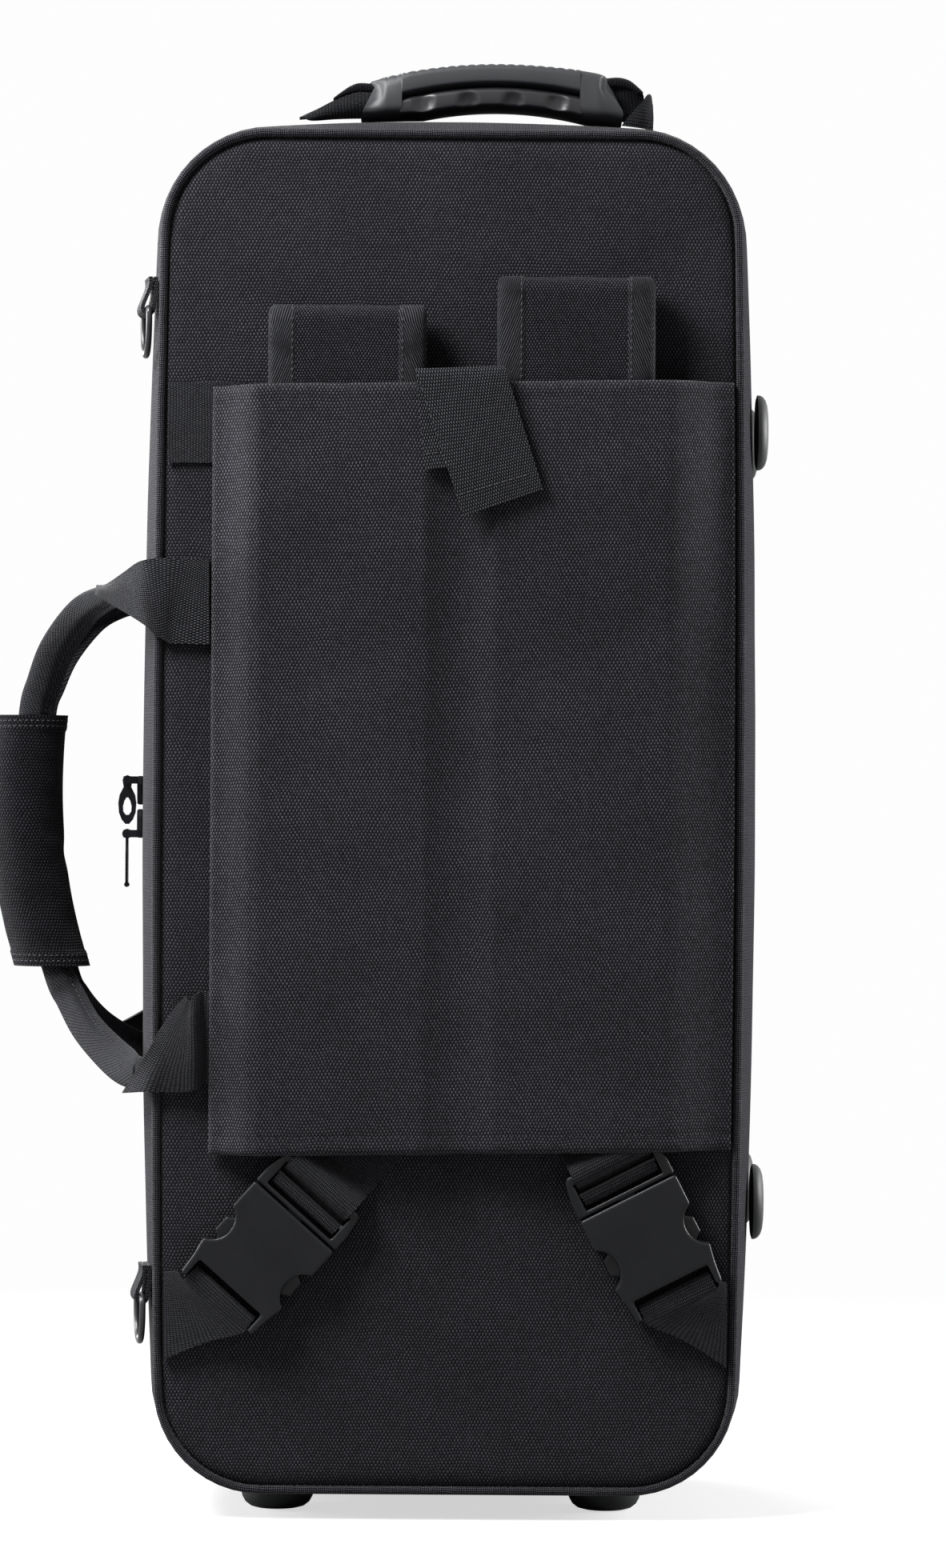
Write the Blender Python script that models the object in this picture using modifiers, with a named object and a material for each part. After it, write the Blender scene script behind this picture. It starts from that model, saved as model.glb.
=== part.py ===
# Soft-covered alto saxophone case, standing on its bottom feet.
# Metres, +Z up. The side with the shoulder straps faces -Y, the lid faces +Y, and the zip lies in Y = 0.
# Sizes below are measured from the middle of the case; the whole case is set off by CASE_X so that the
# origin is the middle of the footprint, between the side grip and the side feet, and it is raised by
# CASE_LIFT on its bottom feet.

from math import asin, cos, pi, radians, sin

import bmesh
import bpy
from mathutils import Matrix, Vector

# Driving sizes: case body
PANEL_WIDTH = 0.270  # seam to seam at half height
SEAM_BOTTOM = 0.0115
SEAM_TOP = 0.6455
CORNER_RADIUS = 0.046
SIDE_BOW = 0.0023
BACK_DEPTH = 0.095  # zip plane to the face of the back panel
LID_DEPTH = 0.085
GUSSET_BULGE = 0.0070
GUSSET_THICKNESS = 0.0016
PANEL_THICKNESS = 0.0015
PIPING_DIAMETER = 0.005
PIPING_PROUD = 0.001
SHELL_WALL = 0.009
GAP = 0.0003
CORNER_STEPS = 5
SIDE_PLACE_SHARES = (-0.8, -0.4, 0, 0.4, 0.8)
TOP_PLACE_SHARES = (-0.5, 0, 0.5)
BOTTOM_PLACE_SHARES = (-0.4, 0.4)
GUSSET_PLACE_SHARES = (0, 0.12, 0.33, 0.64, 1)
BOTTOM_BULGE_SHARE = 0.1  # the floor side hardly bulges
CROWN_SHARE = 0.5  # the top and the sides bulge more at their middle
TOP_BULGE_SHARE = 0.33  # the top adds this to its bulge, all along
CASE_LIFT = 0.005

# Zip and hinge tapes
ZIP_END_SHARE = 0.8  # of the straight part of the hinge side
ZIP_TAPE_WIDTH = 0.008
ZIP_TAPE_THICKNESS = 0.0012
ZIP_TEETH_WIDTH = 0.0022
ZIP_TEETH_HEIGHT = 0.0009
PARTING = 0.00015  # half of the gap in the zip plane

# Foam inserts
INSERT_FLOOR = 0.008
INSERT_RECESS = 0.004  # below the zip plane
INSERT_CLEARANCE = 0.0016
SAX_BODY_TOP = (-0.030, 0.560)
SAX_BODY_BOTTOM = (-0.040, 0.120)
SAX_BODY_TOP_RADIUS = 0.030
SAX_BODY_BOTTOM_RADIUS = 0.048
SAX_BELL_TOP = (0.052, 0.345)
SAX_BELL_BOTTOM = (0.010, 0.105)
SAX_BELL_TOP_RADIUS = 0.066
SAX_BELL_BOTTOM_RADIUS = 0.052
NECK_BAY_TOP = (0.052, 0.575)
NECK_BAY_BOTTOM = (0.078, 0.455)
NECK_BAY_RADIUS = 0.027
NECK_BAY_DEPTH = 0.055
MOUTHPIECE_BAY_TOP = (-0.096, 0.560)
MOUTHPIECE_BAY_BOTTOM = (-0.098, 0.440)
MOUTHPIECE_BAY_RADIUS = 0.021
MOUTHPIECE_BAY_DEPTH = 0.045
LID_RECESS_DEPTH = 0.050
BAY_ARC_STEPS = 8

# Feet
FOOT_RADIUS = 0.018
FOOT_SOLE_RADIUS = 0.0105
FOOT_FLANGE = 0.0012
FOOT_STEPS = 18
FOOT_PROFILE_SHARES = ((0.95, 0.45), (0.84, 0.78))
BOTTOM_FOOT_X = (-0.080, 0.0765)
SIDE_FOOT_Z = (0.511, 0.1425)
SIDE_FOOT_STAND = 0.0035  # beyond the fullest part of the sides
FOOT_DEPTH_SHARE = 0.5  # of the depth of its half of the case

# Webbing
WEBBING_WIDTH = 0.038
WEBBING_THICKNESS = 0.0014
BAND_LIFT_SHARES = ((0, 0), (0.72, 0), (0.9, 0.75), (1, 1))

# Shoulder straps and the band that they are sewn to
ANCHOR_BAND_Z = 0.511
ANCHOR_BAND_RIGHT = 0.122
STRAP_THICKNESS = 0.008
STRAP_TOP_WIDTH = 0.074
STRAP_END_WIDTH = 0.060
STRAP_LEFT_X = -0.0485
STRAP_RIGHT_X = 0.0585
STRAP_LEFT_TOP = 0.566
STRAP_RIGHT_TOP = 0.580
STRAP_SEWN_Z = 0.500
STRAP_EASE_TOP = 0.490
STRAP_EASE_BOTTOM = 0.425
STRAP_END_Z = 0.212
STRAP_FOLD_STEPS = 6
STRAP_SECTION_SHARES = (
    (-1, -0.35), (-0.82, -1), (0.82, -1), (1, -0.35), (1, 0.35), (0.82, 1), (-0.82, 1), (-1, 0.35),
)

# Strap cover flap
FLAP_LEFT = -0.1118
FLAP_TOP = 0.5296
FLAP_BOTTOM = 0.1685
FLAP_TILT = 0.0038  # the right end of each hem is this much higher
FLAP_THICKNESS = 0.0022
FLAP_EDGE_LIFT = 0.0034  # over the handle webbing at its left edge
FLAP_SEAM_LIFT = 0.0006
FLAP_TOP_LIFT = 0.0204
FLAP_LOW_LIFT = 0.0128
FLAP_DIP_SHARE = 0.22
FLAP_FALL_MARGIN = 0.005
FLAP_EASE_START_SHARE = 0.1
FLAP_EASE_SHARE = 0.3
FLAP_HINGE_INSET = 0.0014  # from the seam of the panel
FLAP_COLUMNS = 22
FLAP_ROWS = 12

# Pull tab on the flap
TAB_FOLD_LEFT = (-0.0164, 0.5345)
TAB_FOLD_RIGHT = (0.0251, 0.5360)
TAB_END_LEFT = (0.0062, 0.4666)
TAB_END_RIGHT = (0.0432, 0.4794)
TAB_BACK_END_LEFT = (-0.0119, 0.4880)
TAB_BACK_END_RIGHT = (0.0290, 0.4930)
TAB_LAYER_GAP = 0.0006

# Side handles and their grip
HANDLE_TOP_Z = 0.428
HANDLE_BOTTOM_Z = 0.222
HANDLE_REACH = 0.065  # outward from the corner piping
HANDLE_PLANE = 0.0094  # each handle's distance from the zip plane
HANDLE_TUBE_WIDTH = 0.0176
HANDLE_TUBE_THICKNESS = 0.009
HANDLE_STEPS = 3
# drop, reach, depth and fold, each as a share of the handle's own sizes
HANDLE_ROUTE_SHARES = (
    (0.000, 0.000, 0.000, 0.00),
    (0.000, 0.050, 0.016, 0.00),
    (-0.010, 0.200, 0.200, 0.30),
    (-0.024, 0.400, 0.450, 0.85),
    (0.010, 0.600, 0.650, 1.00),
    (0.092, 0.800, 0.850, 1.00),
    (0.190, 0.900, 0.960, 1.00),
    (0.255, 0.970, 1.000, 1.00),
    (0.460, 1.000, 1.000, 1.00),
    (0.670, 0.940, 1.000, 1.00),
    (0.870, 0.780, 0.985, 1.00),
    (0.924, 0.690, 0.940, 1.00),
    (0.976, 0.560, 0.750, 1.00),
    (1.024, 0.400, 0.550, 0.90),
    (1.040, 0.240, 0.300, 0.45),
    (1.000, 0.050, 0.016, 0.00),
    (1.000, 0.000, 0.000, 0.00),
)
HANDLE_SIDES = 8
ANCHOR_LENGTH = 0.034
HINGE_ROOM = 0.0009
GRIP_WIDTH = 0.037
GRIP_HEIGHT = 0.0175  # of one half, from the zip plane
GRIP_WALL = 0.0020
GRIP_STEPS = 10
GRIP_START_SHARE = 0.262
GRIP_END_SHARE = 0.855
GRIP_ROWS = 8

# Top handle
TOP_GRIP_LENGTH = 0.125
TOP_GRIP_X = 0.020
TOP_GRIP_CLEARANCE = 0.00585  # above the top of the case at its middle
TOP_GRIP_HEIGHT = 0.0217
TOP_GRIP_WIDTH = 0.030
TOP_GRIP_ARCH = 0.009
TOP_GRIP_UNDER_ARCH = 0.0030
TOP_GRIP_ROWS = 44
TOP_SCALLOPS = 20
TOP_SCALLOP_DEPTH = 0.0009
TOP_SCALLOP_REACH_SHARE = 0.92
TOP_CHANNEL_WIDTH = 0.0214
TOP_CHANNEL_SHARE = 0.56  # of the grip's height
TOP_INSERT_LENGTH_SHARE = 0.94
FINGER_GROOVES = 4
FINGER_GROOVE_DEPTH = 0.0016
TOP_WEBBING_WIDTH = 0.0200
TOP_WEBBING_THICKNESS = 0.0024
TOP_WEBBING_LEFT = -0.0735
TOP_WEBBING_RIGHT = 0.0960
TOP_WEBBING_END_SHARE = 0.1  # of its width, where it is sewn down
TOP_WEBBING_INWARD = 0.0036  # to its full width
TOP_WEBBING_NECK_RISE = 0.0028  # above the axis
TOP_HANDLE_DROP = 0.0016  # of the axis below the middle of the top
TOP_GRIP_SECTION_SHARES = (
    (-1, -0.55), (-1, 0.10), (-0.84, 0.62), (-0.48, 0.92), (0, 1), (0.48, 0.92), (0.84, 0.62), (1, 0.10),
    (1, -0.55), (0.88, -1),
)

# Side-release buckles
BUCKLE_LEFT_FOOT = (-0.1071, 0.0980)  # middle between the horn tips
BUCKLE_RIGHT_FOOT = (0.1099, 0.0997)
BUCKLE_LEFT_LEAN = radians(48.2)
BUCKLE_RIGHT_LEAN = radians(117)
BUCKLE_HALF_WIDTH = 0.025
BUCKLE_WAIST_HALF = 0.0233
BUCKLE_HEIGHT = 0.013
BUCKLE_SEAM = 0.0546
BUCKLE_LENGTH = 0.0754
HORN_LENGTH = 0.0099
HORN_TIP_HALF = 0.0222
HORN_INNER_HALF = 0.0193
BAR_NEAR = 0.0008
BAR_FAR = 0.0046
BAR_LOW = 0.0045
BAR_HIGH = 0.0085
CAVITY_HALF_WIDTH = 0.0205
CAVITY_END = 0.0145
CAVITY_WALL = 0.0026
WINDOW_RADIUS = 0.011
WINDOW_ALONG = 0.029
WINDOW_DEPTH_HALF = 0.018
WINDOW_STEPS = 10
FRAME_TOP_HALF = 0.0225
FRAME_HEIGHT = 0.009
FRAME_LIFT = 0.0012
SLOT_HALF_WIDTH = 0.0200
SLOT_WIDTH = 0.0050
TOP_BAR_WIDTH = 0.0042
MIDDLE_BAR_WIDTH = 0.0036
MIDDLE_BAR_HEIGHT = 0.0030
TONGUE_HALF_WIDTH = 0.0042
TONGUE_LENGTH = 0.030
PRONG_THICKNESS = 0.0050
PRONG_ROOT_RADIUS = 0.0020
PRONG_ROOT_OUT = 0.0145
PRONG_ARM_WIDTH = 0.0036
BUTTON_OUT = 0.0236
BUTTON_HALF_LENGTH = 0.0056
HEAD_HALF_LENGTH = 0.0088
HEAD_INNER = 0.0118
BUCKLE_BEVEL = 0.0008
STRAP_TAIL_LENGTH = 0.074  # webbing beyond the buckle's frame

# Webbing from the lower corners to the buckles
CORNER_LEFT_LOW = 0.0702
CORNER_LEFT_HIGH = 0.1114
CORNER_RIGHT_LOW = 0.0683
CORNER_RIGHT_HIGH = 0.1080
CORNER_END_SHORT = 0.0010
CORNER_BAND_THICKNESS = 0.0012
CORNER_BAND_HALF = 0.0184

# D-rings on the zip side
RING_DEPTH = 0.019  # from the back panel
RING_WIRE = 0.0015
RING_HALF_WIDTH = 0.0140
RING_DROP = 0.0215
RING_BEND = 0.0030
RING_LOOP_WIDTH = 0.020
RING_LOOP_THICKNESS = 0.0012
RING_LOOP_LENGTH = 0.0170
RING_OUT = 0.0052
RING_UPPER_Z = 0.5655
RING_LOWER_Z = 0.0985
RING_ROOM = 0.0019
RING_STEPS = 12

# Zip sliders and pulls
SLIDER_LENGTH = 0.0140
SLIDER_WIDTH = 0.0110
SLIDER_HEIGHT = 0.0030
SLIDER_UPPER_Z = 0.3377
SLIDER_LOWER_Z = 0.3215
SLIDER_POST = 0.0014
SLIDER_POST_GAP = 0.0046
SLIDER_PIN_RADIUS = 0.0009
SLIDER_PIN_HEIGHT = 0.0050
SLIDER_PIN_SHIFT = 0.0050
SLIDER_OUTLINE_SHARES = (
    (-0.62, -1), (0.62, -1), (0.86, -0.5), (1, 0.45), (0.8, 1), (-0.8, 1), (-1, 0.45), (-0.86, -0.5),
)
PULL_EYE_RADIUS = 0.0013
PULL_EYE_RIM = 0.0011
LEAF_LENGTH = 0.0215
LEAF_WIDTH = 0.0088
LEAF_THICKNESS = 0.0018
LEAF_HOLE_LENGTH = 0.0088
LEAF_HOLE_WIDTH = 0.0042
LEAF_HOLE_ALONG = 0.0128
LEAF_OUTLINE_SHARES = ((0.16, 0.42), (0.34, 0.86), (0.52, 1.0), (0.74, 0.92), (0.9, 0.62), (1.0, 0.2))
BAR_PULL_LENGTH = 0.0256
BAR_PULL_WIDTH = 0.0058
BAR_PULL_THICKNESS = 0.0013
BAR_PULL_OUTLINE_SHARES = ((0, 0.7), (0.2, 0.7), (0.34, 1), (0.9, 1), (1, 0.6))

# Pocket on the lid
POCKET_WIDTH = 0.220
POCKET_BOTTOM = 0.070
POCKET_TOP = 0.400
POCKET_RADIUS = 0.035
POCKET_DEPTH = 0.032
POCKET_ZIP_DEPTH = 0.0145
POCKET_WALL = 0.0020
POCKET_ROUND = 0.006
POCKET_SLIDER_Z = 0.130
POCKET_STEPS = 5

GRIP_OUTER = PANEL_WIDTH / 2 + PIPING_DIAMETER / 2 + GAP + HINGE_ROOM / 3 + HANDLE_REACH + GRIP_WIDTH / 2
SIDE_FOOT_OUTER = PANEL_WIDTH / 2 + PIPING_DIAMETER / 2 + GUSSET_BULGE * (1 + CROWN_SHARE) + SIDE_FOOT_STAND
CASE_X = (GRIP_OUTER - SIDE_FOOT_OUTER) / 2
CUT = 0.004  # overrun of every cutter

HALF_WIDTH = PANEL_WIDTH / 2 - SIDE_BOW
MIDDLE_Z = (SEAM_BOTTOM + SEAM_TOP) / 2
HALF_HEIGHT = (SEAM_TOP - SEAM_BOTTOM) / 2
STRAIGHT_X = HALF_WIDTH - CORNER_RADIUS
STRAIGHT_Z = HALF_HEIGHT - CORNER_RADIUS
SEAM_OUT = PIPING_DIAMETER / 2
PANEL_FACE = -BACK_DEPTH

for old in list(bpy.data.objects):
    bpy.data.objects.remove(old, do_unlink=True)

parts = bpy.data.collections.new("alto_saxophone_case")
cutters = bpy.data.collections.new("cutters")
bpy.context.scene.collection.children.link(parts)
bpy.context.scene.collection.children.link(cutters)
bodies = {}
pivots = {}


# Materials, bodies and pieces


def material(name, colour, roughness, metallic=0.0):
    made = bpy.data.materials.new(name)
    made.use_nodes = True
    shader = made.node_tree.nodes["Principled BSDF"]
    shader.inputs["Base Color"].default_value = (*colour, 1.0)
    shader.inputs["Roughness"].default_value = roughness
    shader.inputs["Metallic"].default_value = metallic
    return made


cover_look = material("polyester_cover", (0.030, 0.030, 0.034), 0.85)
strap_look = material("strap_mesh", (0.026, 0.026, 0.030), 0.9)
webbing_look = material("webbing", (0.028, 0.030, 0.032), 0.75)
piping_look = material("woven_piping", (0.012, 0.012, 0.014), 0.7)
zip_look = material("zip_tape", (0.012, 0.012, 0.014), 0.6)
tape_look = material("hinge_tape", (0.012, 0.012, 0.014), 0.8)
shell_look = material("shell_foam", (0.050, 0.050, 0.055), 0.9)
plush_look = material("plush_lining", (0.018, 0.018, 0.021), 0.95)
foot_look = material("foot_rubber", (0.010, 0.011, 0.013), 0.6)
rubber_look = material("grip_rubber", (0.022, 0.022, 0.025), 0.55)
plastic_look = material("buckle_plastic", (0.018, 0.019, 0.021), 0.42)
ring_look = material("ring_plastic", (0.014, 0.014, 0.016), 0.35)
metal_look = material("slider_metal", (0.020, 0.020, 0.022), 0.35, 0.6)
cutter_look = material("cutter", (0.012, 0.012, 0.014), 0.5)


def add_body(name, parent, pivot):
    """An empty on the joint's axis, which its pieces hang from."""
    empty = bpy.data.objects.new("body_" + name, None)
    parts.objects.link(empty)
    pivots[name] = Vector(pivot)
    bodies[name] = empty
    if parent is None:
        empty.location = pivots[name] + Vector((CASE_X, 0, CASE_LIFT))
    else:
        empty.parent = bodies[parent]
        empty.location = pivots[name] - pivots[parent]


def piece(name, body, mesh_data, look, smooth=40):
    """A named solid, given in the case's own coordinates, hung from its body."""
    mesh = bpy.data.meshes.new(name)
    bmesh.ops.remove_doubles(mesh_data, verts=mesh_data.verts, dist=GAP / 100)
    bmesh.ops.recalc_face_normals(mesh_data, faces=mesh_data.faces)
    mesh_data.to_mesh(mesh)
    mesh_data.free()
    mesh.transform(Matrix.Translation(-pivots[body]))
    mesh.shade_smooth()
    mesh.set_sharp_from_angle(angle=radians(smooth))
    obj = bpy.data.objects.new(name, mesh)
    obj.data.materials.append(look)
    obj.parent = bodies[body]
    parts.objects.link(obj)
    return obj


def cutter(name, body, mesh_data):
    obj = piece(name, body, mesh_data, cutter_look)
    parts.objects.unlink(obj)
    cutters.objects.link(obj)
    obj.hide_render = True
    obj.display_type = "WIRE"
    return obj


def boolean(obj, other, operation="DIFFERENCE"):
    step = obj.modifiers.new(operation.lower() + "_" + other.name, "BOOLEAN")
    step.operation = operation
    step.solver = "EXACT"
    step.object = other


def bevel(obj, width, segments=1, angle=35):
    step = obj.modifiers.new("edges", "BEVEL")
    step.width = width
    step.segments = segments
    step.limit_method = "ANGLE"
    step.angle_limit = radians(angle)


# Shapes


def loft(rings, cyclic=False):
    """Joins rings of equal count; the two ends are capped unless the rings close on themselves."""
    shape = bmesh.new()
    rows = [[shape.verts.new(point) for point in ring] for ring in rings]
    count = len(rows[0])
    following = rows[1:] + rows[:1] if cyclic else rows[1:]
    for row, after in zip(rows, following):
        for i in range(count):
            j = (i + 1) % count
            shape.faces.new((row[i], row[j], after[j], after[i]))
    if not cyclic:
        shape.faces.new(rows[0])
        shape.faces.new(list(reversed(rows[-1])))
    return shape


def extruded(points, along):
    """A flat outline pushed along a vector."""
    shape = bmesh.new()
    face = shape.faces.new([shape.verts.new(point) for point in points])
    pushed = bmesh.ops.extrude_face_region(shape, geom=[face])
    moved = [item for item in pushed["geom"] if isinstance(item, bmesh.types.BMVert)]
    bmesh.ops.translate(shape, vec=along, verts=moved)
    return shape


def block(low, high, frame=None):
    """A box between two corners, in a frame of its own when one is given."""
    low = Vector(low)
    high = Vector(high)
    shape = bmesh.new()
    bmesh.ops.create_cube(shape, size=1.0)
    size = high - low
    bmesh.ops.scale(shape, vec=size, verts=shape.verts)
    bmesh.ops.translate(shape, vec=(low + high) / 2, verts=shape.verts)
    if frame is not None:
        bmesh.ops.transform(shape, matrix=frame, verts=shape.verts)
    return shape


def rod(start, end, radius, sides=10):
    """A round bar between two points."""
    start = Vector(start)
    run = Vector(end) - start
    shape = bmesh.new()
    bmesh.ops.create_cone(
        shape, cap_ends=True, segments=sides, radius1=radius, radius2=radius, depth=run.length
    )
    turn = run.to_track_quat("Z", "Y").to_matrix().to_4x4()
    bmesh.ops.transform(
        shape, matrix=Matrix.Translation(start + run / 2) @ turn, verts=shape.verts
    )
    return shape


def smooth_route(rows, steps):
    """Points of a smooth curve through the rows, each row being any list of numbers."""
    found = []
    for i in range(len(rows) - 1):
        before = rows[max(i - 1, 0)]
        first = rows[i]
        second = rows[i + 1]
        after = rows[min(i + 2, len(rows) - 1)]
        for k in range(steps):
            t = k / steps
            found.append([
                b + t / 2 * ((c - a) + t * ((2 * a - 5 * b + 4 * c - d) + t * (3 * (b - c) + d - a)))
                for a, b, c, d in zip(before, first, second, after)
            ])
    found.append(list(rows[-1]))
    return found


def along_route(points):
    """The direction of a route at each of its points."""
    last = len(points) - 1
    return [
        (points[min(i + 1, last)] - points[max(i - 1, 0)]).normalized() for i in range(last + 1)
    ]


def band(path, across, thickness, section=((-1, -1), (1, -1), (1, 1), (-1, 1))):
    """A strip along a path; across[i] is half its width as a vector, and its thickness is square to that."""
    rings = []
    for point, heading, half in zip(path, along_route(path), across):
        up = heading.cross(half).normalized() * thickness / 2
        rings.append([point + half * u + up * v for u, v in section])
    return loft(rings)


def ease(t):
    t = min(max(t, 0.0), 1.0)
    return t * t * (3 - 2 * t)


def mix(a, b, t):
    return a + (b - a) * t


# The rounded outline of the case, anticlockwise from the hinge side: place, normal and share of the bulge


def side_place(side, t):
    bow = SIDE_BOW * (1 - t * t)
    crown = 1 + CROWN_SHARE * (1 - t * t)
    if side == "right":
        return Vector((HALF_WIDTH + bow, MIDDLE_Z + t * STRAIGHT_Z)), Vector((1, 0)), crown
    if side == "left":
        return Vector((-HALF_WIDTH - bow, MIDDLE_Z - t * STRAIGHT_Z)), Vector((-1, 0)), crown
    if side == "top":
        return Vector((-t * STRAIGHT_X, SEAM_TOP)), Vector((0, 1)), crown + TOP_BULGE_SHARE
    return Vector((t * STRAIGHT_X, SEAM_BOTTOM)), Vector((0, -1)), BOTTOM_BULGE_SHARE


def corner_places(sign_x, sign_z, start):
    centre = Vector((sign_x * STRAIGHT_X, MIDDLE_Z + sign_z * STRAIGHT_Z))
    found = []
    for k in range(CORNER_STEPS + 1):
        angle = start + pi / 2 * k / CORNER_STEPS
        normal = Vector((cos(angle), sin(angle)))
        down = max(0.0, -normal.y)
        up = max(0.0, normal.y)
        share = 1 - (1 - BOTTOM_BULGE_SHARE) * down * down + TOP_BULGE_SHARE * up * up
        found.append((centre + CORNER_RADIUS * normal, normal, share))
    return found


def zip_places():
    """From the top of the hinge side round the top, the zip side and the bottom."""
    found = [side_place("right", ZIP_END_SHARE)]
    found += corner_places(1, 1, 0)
    found += [side_place("top", t) for t in TOP_PLACE_SHARES]
    found += corner_places(-1, 1, pi / 2)
    found += [side_place("left", t) for t in SIDE_PLACE_SHARES]
    found += corner_places(-1, -1, pi)
    found += [side_place("bottom", t) for t in BOTTOM_PLACE_SHARES]
    found += corner_places(1, -1, 3 * pi / 2)
    found.append(side_place("right", -ZIP_END_SHARE))
    return found


def all_places():
    return zip_places() + [side_place("right", t) for t in SIDE_PLACE_SHARES[1:-1]]


def ring(places, offset, bulge, y):
    found = []
    for place, normal, share in places:
        point = place + normal * (offset + bulge * share)
        found.append(Vector((point.x, y, point.y)))
    return found


def bulge_at(depth, from_panel):
    """How far the gusset stands out, at a distance from the panel of a half of this depth."""
    return GUSSET_BULGE * (1 - (1 - from_panel / depth) ** 3)


def seam_x(z):
    """Distance from the middle of the case to the side seam of a panel."""
    t = (z - MIDDLE_Z) / STRAIGHT_Z
    return HALF_WIDTH + SIDE_BOW * (1 - t * t)


def side_out(z, depth, from_panel):
    """Distance from the middle of the case to the gusset of a half, on either side."""
    t = (z - MIDDLE_Z) / STRAIGHT_Z
    return seam_x(z) + SEAM_OUT + bulge_at(depth, from_panel) * (1 + CROWN_SHARE * (1 - t * t))


# Shells, covers, piping and tapes, once for the back half and once for the lid


def half_case(prefix, suffix, body, side, depth):
    places = all_places()
    first = PIPING_DIAMETER - PIPING_PROUD
    last = depth - ZIP_TAPE_WIDTH
    stops = [mix(first, last, share) for share in GUSSET_PLACE_SHARES]

    def level(from_panel):
        return side * (depth - from_panel)

    panel = [ring(places, -GAP, 0, level(0)), ring(places, -GAP, 0, level(PANEL_THICKNESS))]
    piece(prefix + "_panel", body, loft(panel), cover_look)

    outer = [ring(places, SEAM_OUT, bulge_at(depth, d), level(d)) for d in stops]
    inner = [
        ring(places, SEAM_OUT - GUSSET_THICKNESS, bulge_at(depth, d), level(d)) for d in reversed(stops)
    ]
    piece(prefix + "_gusset", body, loft(outer + inner, cyclic=True), cover_look)

    skin = SEAM_OUT - GUSSET_THICKNESS - GAP
    rim = depth - PARTING - GAP
    tape_skin = SEAM_OUT - ZIP_TAPE_THICKNESS - GUSSET_THICKNESS
    shell = [ring(places, -PANEL_THICKNESS, 0, level(PANEL_THICKNESS + GAP))]
    shell.append(ring(places, skin - 3 * GAP, bulge_at(depth, first), level(first)))
    shell += [ring(places, skin - GAP, bulge_at(depth, d), level(d)) for d in stops[1:]]
    shell.append(ring(places, tape_skin, bulge_at(depth, last), level(rim)))
    cave = tape_skin - SHELL_WALL
    shell.append(ring(places, cave, bulge_at(depth, last), level(rim)))
    floor = PANEL_THICKNESS + GAP + SHELL_WALL
    shell.append(ring(places, skin - SHELL_WALL, 0, level(floor)))
    piece(prefix + "_shell", body, loft(shell), shell_look)

    cord = ring(places, SEAM_OUT, 0, level(PIPING_DIAMETER / 2 - PIPING_PROUD))
    outline = bpy.data.curves.new(prefix + "_piping", "CURVE")
    outline.dimensions = "3D"
    spline = outline.splines.new("POLY")
    spline.points.add(len(cord) - 1)
    for point, place in zip(spline.points, cord):
        point.co = (*(place - pivots[body]), 1)
    spline.use_cyclic_u = True
    outline.bevel_depth = PIPING_DIAMETER / 2
    outline.bevel_resolution = 2
    trim = bpy.data.objects.new(prefix + "_piping", outline)
    trim.data.materials.append(piping_look)
    trim.parent = bodies[body]
    parts.objects.link(trim)

    edge = depth - PARTING
    tape_section = (
        (last + GAP, SEAM_OUT),
        (edge - ZIP_TEETH_WIDTH, SEAM_OUT),
        (edge - ZIP_TEETH_WIDTH, SEAM_OUT + ZIP_TEETH_HEIGHT),
        (edge, SEAM_OUT + ZIP_TEETH_HEIGHT),
        (edge, SEAM_OUT - ZIP_TAPE_THICKNESS),
        (last + GAP, SEAM_OUT - ZIP_TAPE_THICKNESS),
    )
    tape = [ring(zip_places(), o, bulge_at(depth, last), level(d)) for d, o in tape_section]
    runs = [[row[i] for row in tape] for i in range(len(tape[0]))]
    piece("zip_tape_" + suffix, body, loft(runs), zip_look)

    end = ZIP_END_SHARE - 2 * GAP / STRAIGHT_Z
    hinge_places = [side_place("right", t * end / ZIP_END_SHARE) for t in SIDE_PLACE_SHARES]
    tape = [
        ring(hinge_places, o, bulge_at(depth, last), level(d))
        for d, o in (
            (last + GAP, SEAM_OUT),
            (edge, SEAM_OUT),
            (edge, SEAM_OUT - ZIP_TAPE_THICKNESS),
            (last + GAP, SEAM_OUT - ZIP_TAPE_THICKNESS),
        )
    ]
    runs = [[row[i] for row in tape] for i in range(len(tape[0]))]
    piece("hinge_tape_" + suffix, body, loft(runs), tape_look)


# Foam inserts


def capsule(low, low_radius, high, high_radius):
    """The outline round two circles, as points (x, z), anticlockwise."""
    low = Vector(low)
    high = Vector(high)
    run = high - low
    heading = Vector((1, 0)).angle_signed(run) * -1
    tilt = (low_radius - high_radius) / run.length
    start = heading - pi / 2 + tilt
    found = []
    for k in range(BAY_ARC_STEPS + 1):
        angle = start + (pi - 2 * tilt) * k / BAY_ARC_STEPS
        found.append(high + high_radius * Vector((cos(angle), sin(angle))))
    for k in range(BAY_ARC_STEPS + 1):
        angle = start + pi - 2 * tilt + (pi + 2 * tilt) * k / BAY_ARC_STEPS
        found.append(low + low_radius * Vector((cos(angle), sin(angle))))
    return found


def bay(name, body, outline, face, depth, side):
    """Cuts from beyond the insert's face to the depth of the bay."""
    start = face + side * -CUT
    points = [Vector((x, start, z)) for x, z in outline]
    return cutter(name, body, extruded(points, Vector((0, side * (depth + CUT), 0))))


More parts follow.
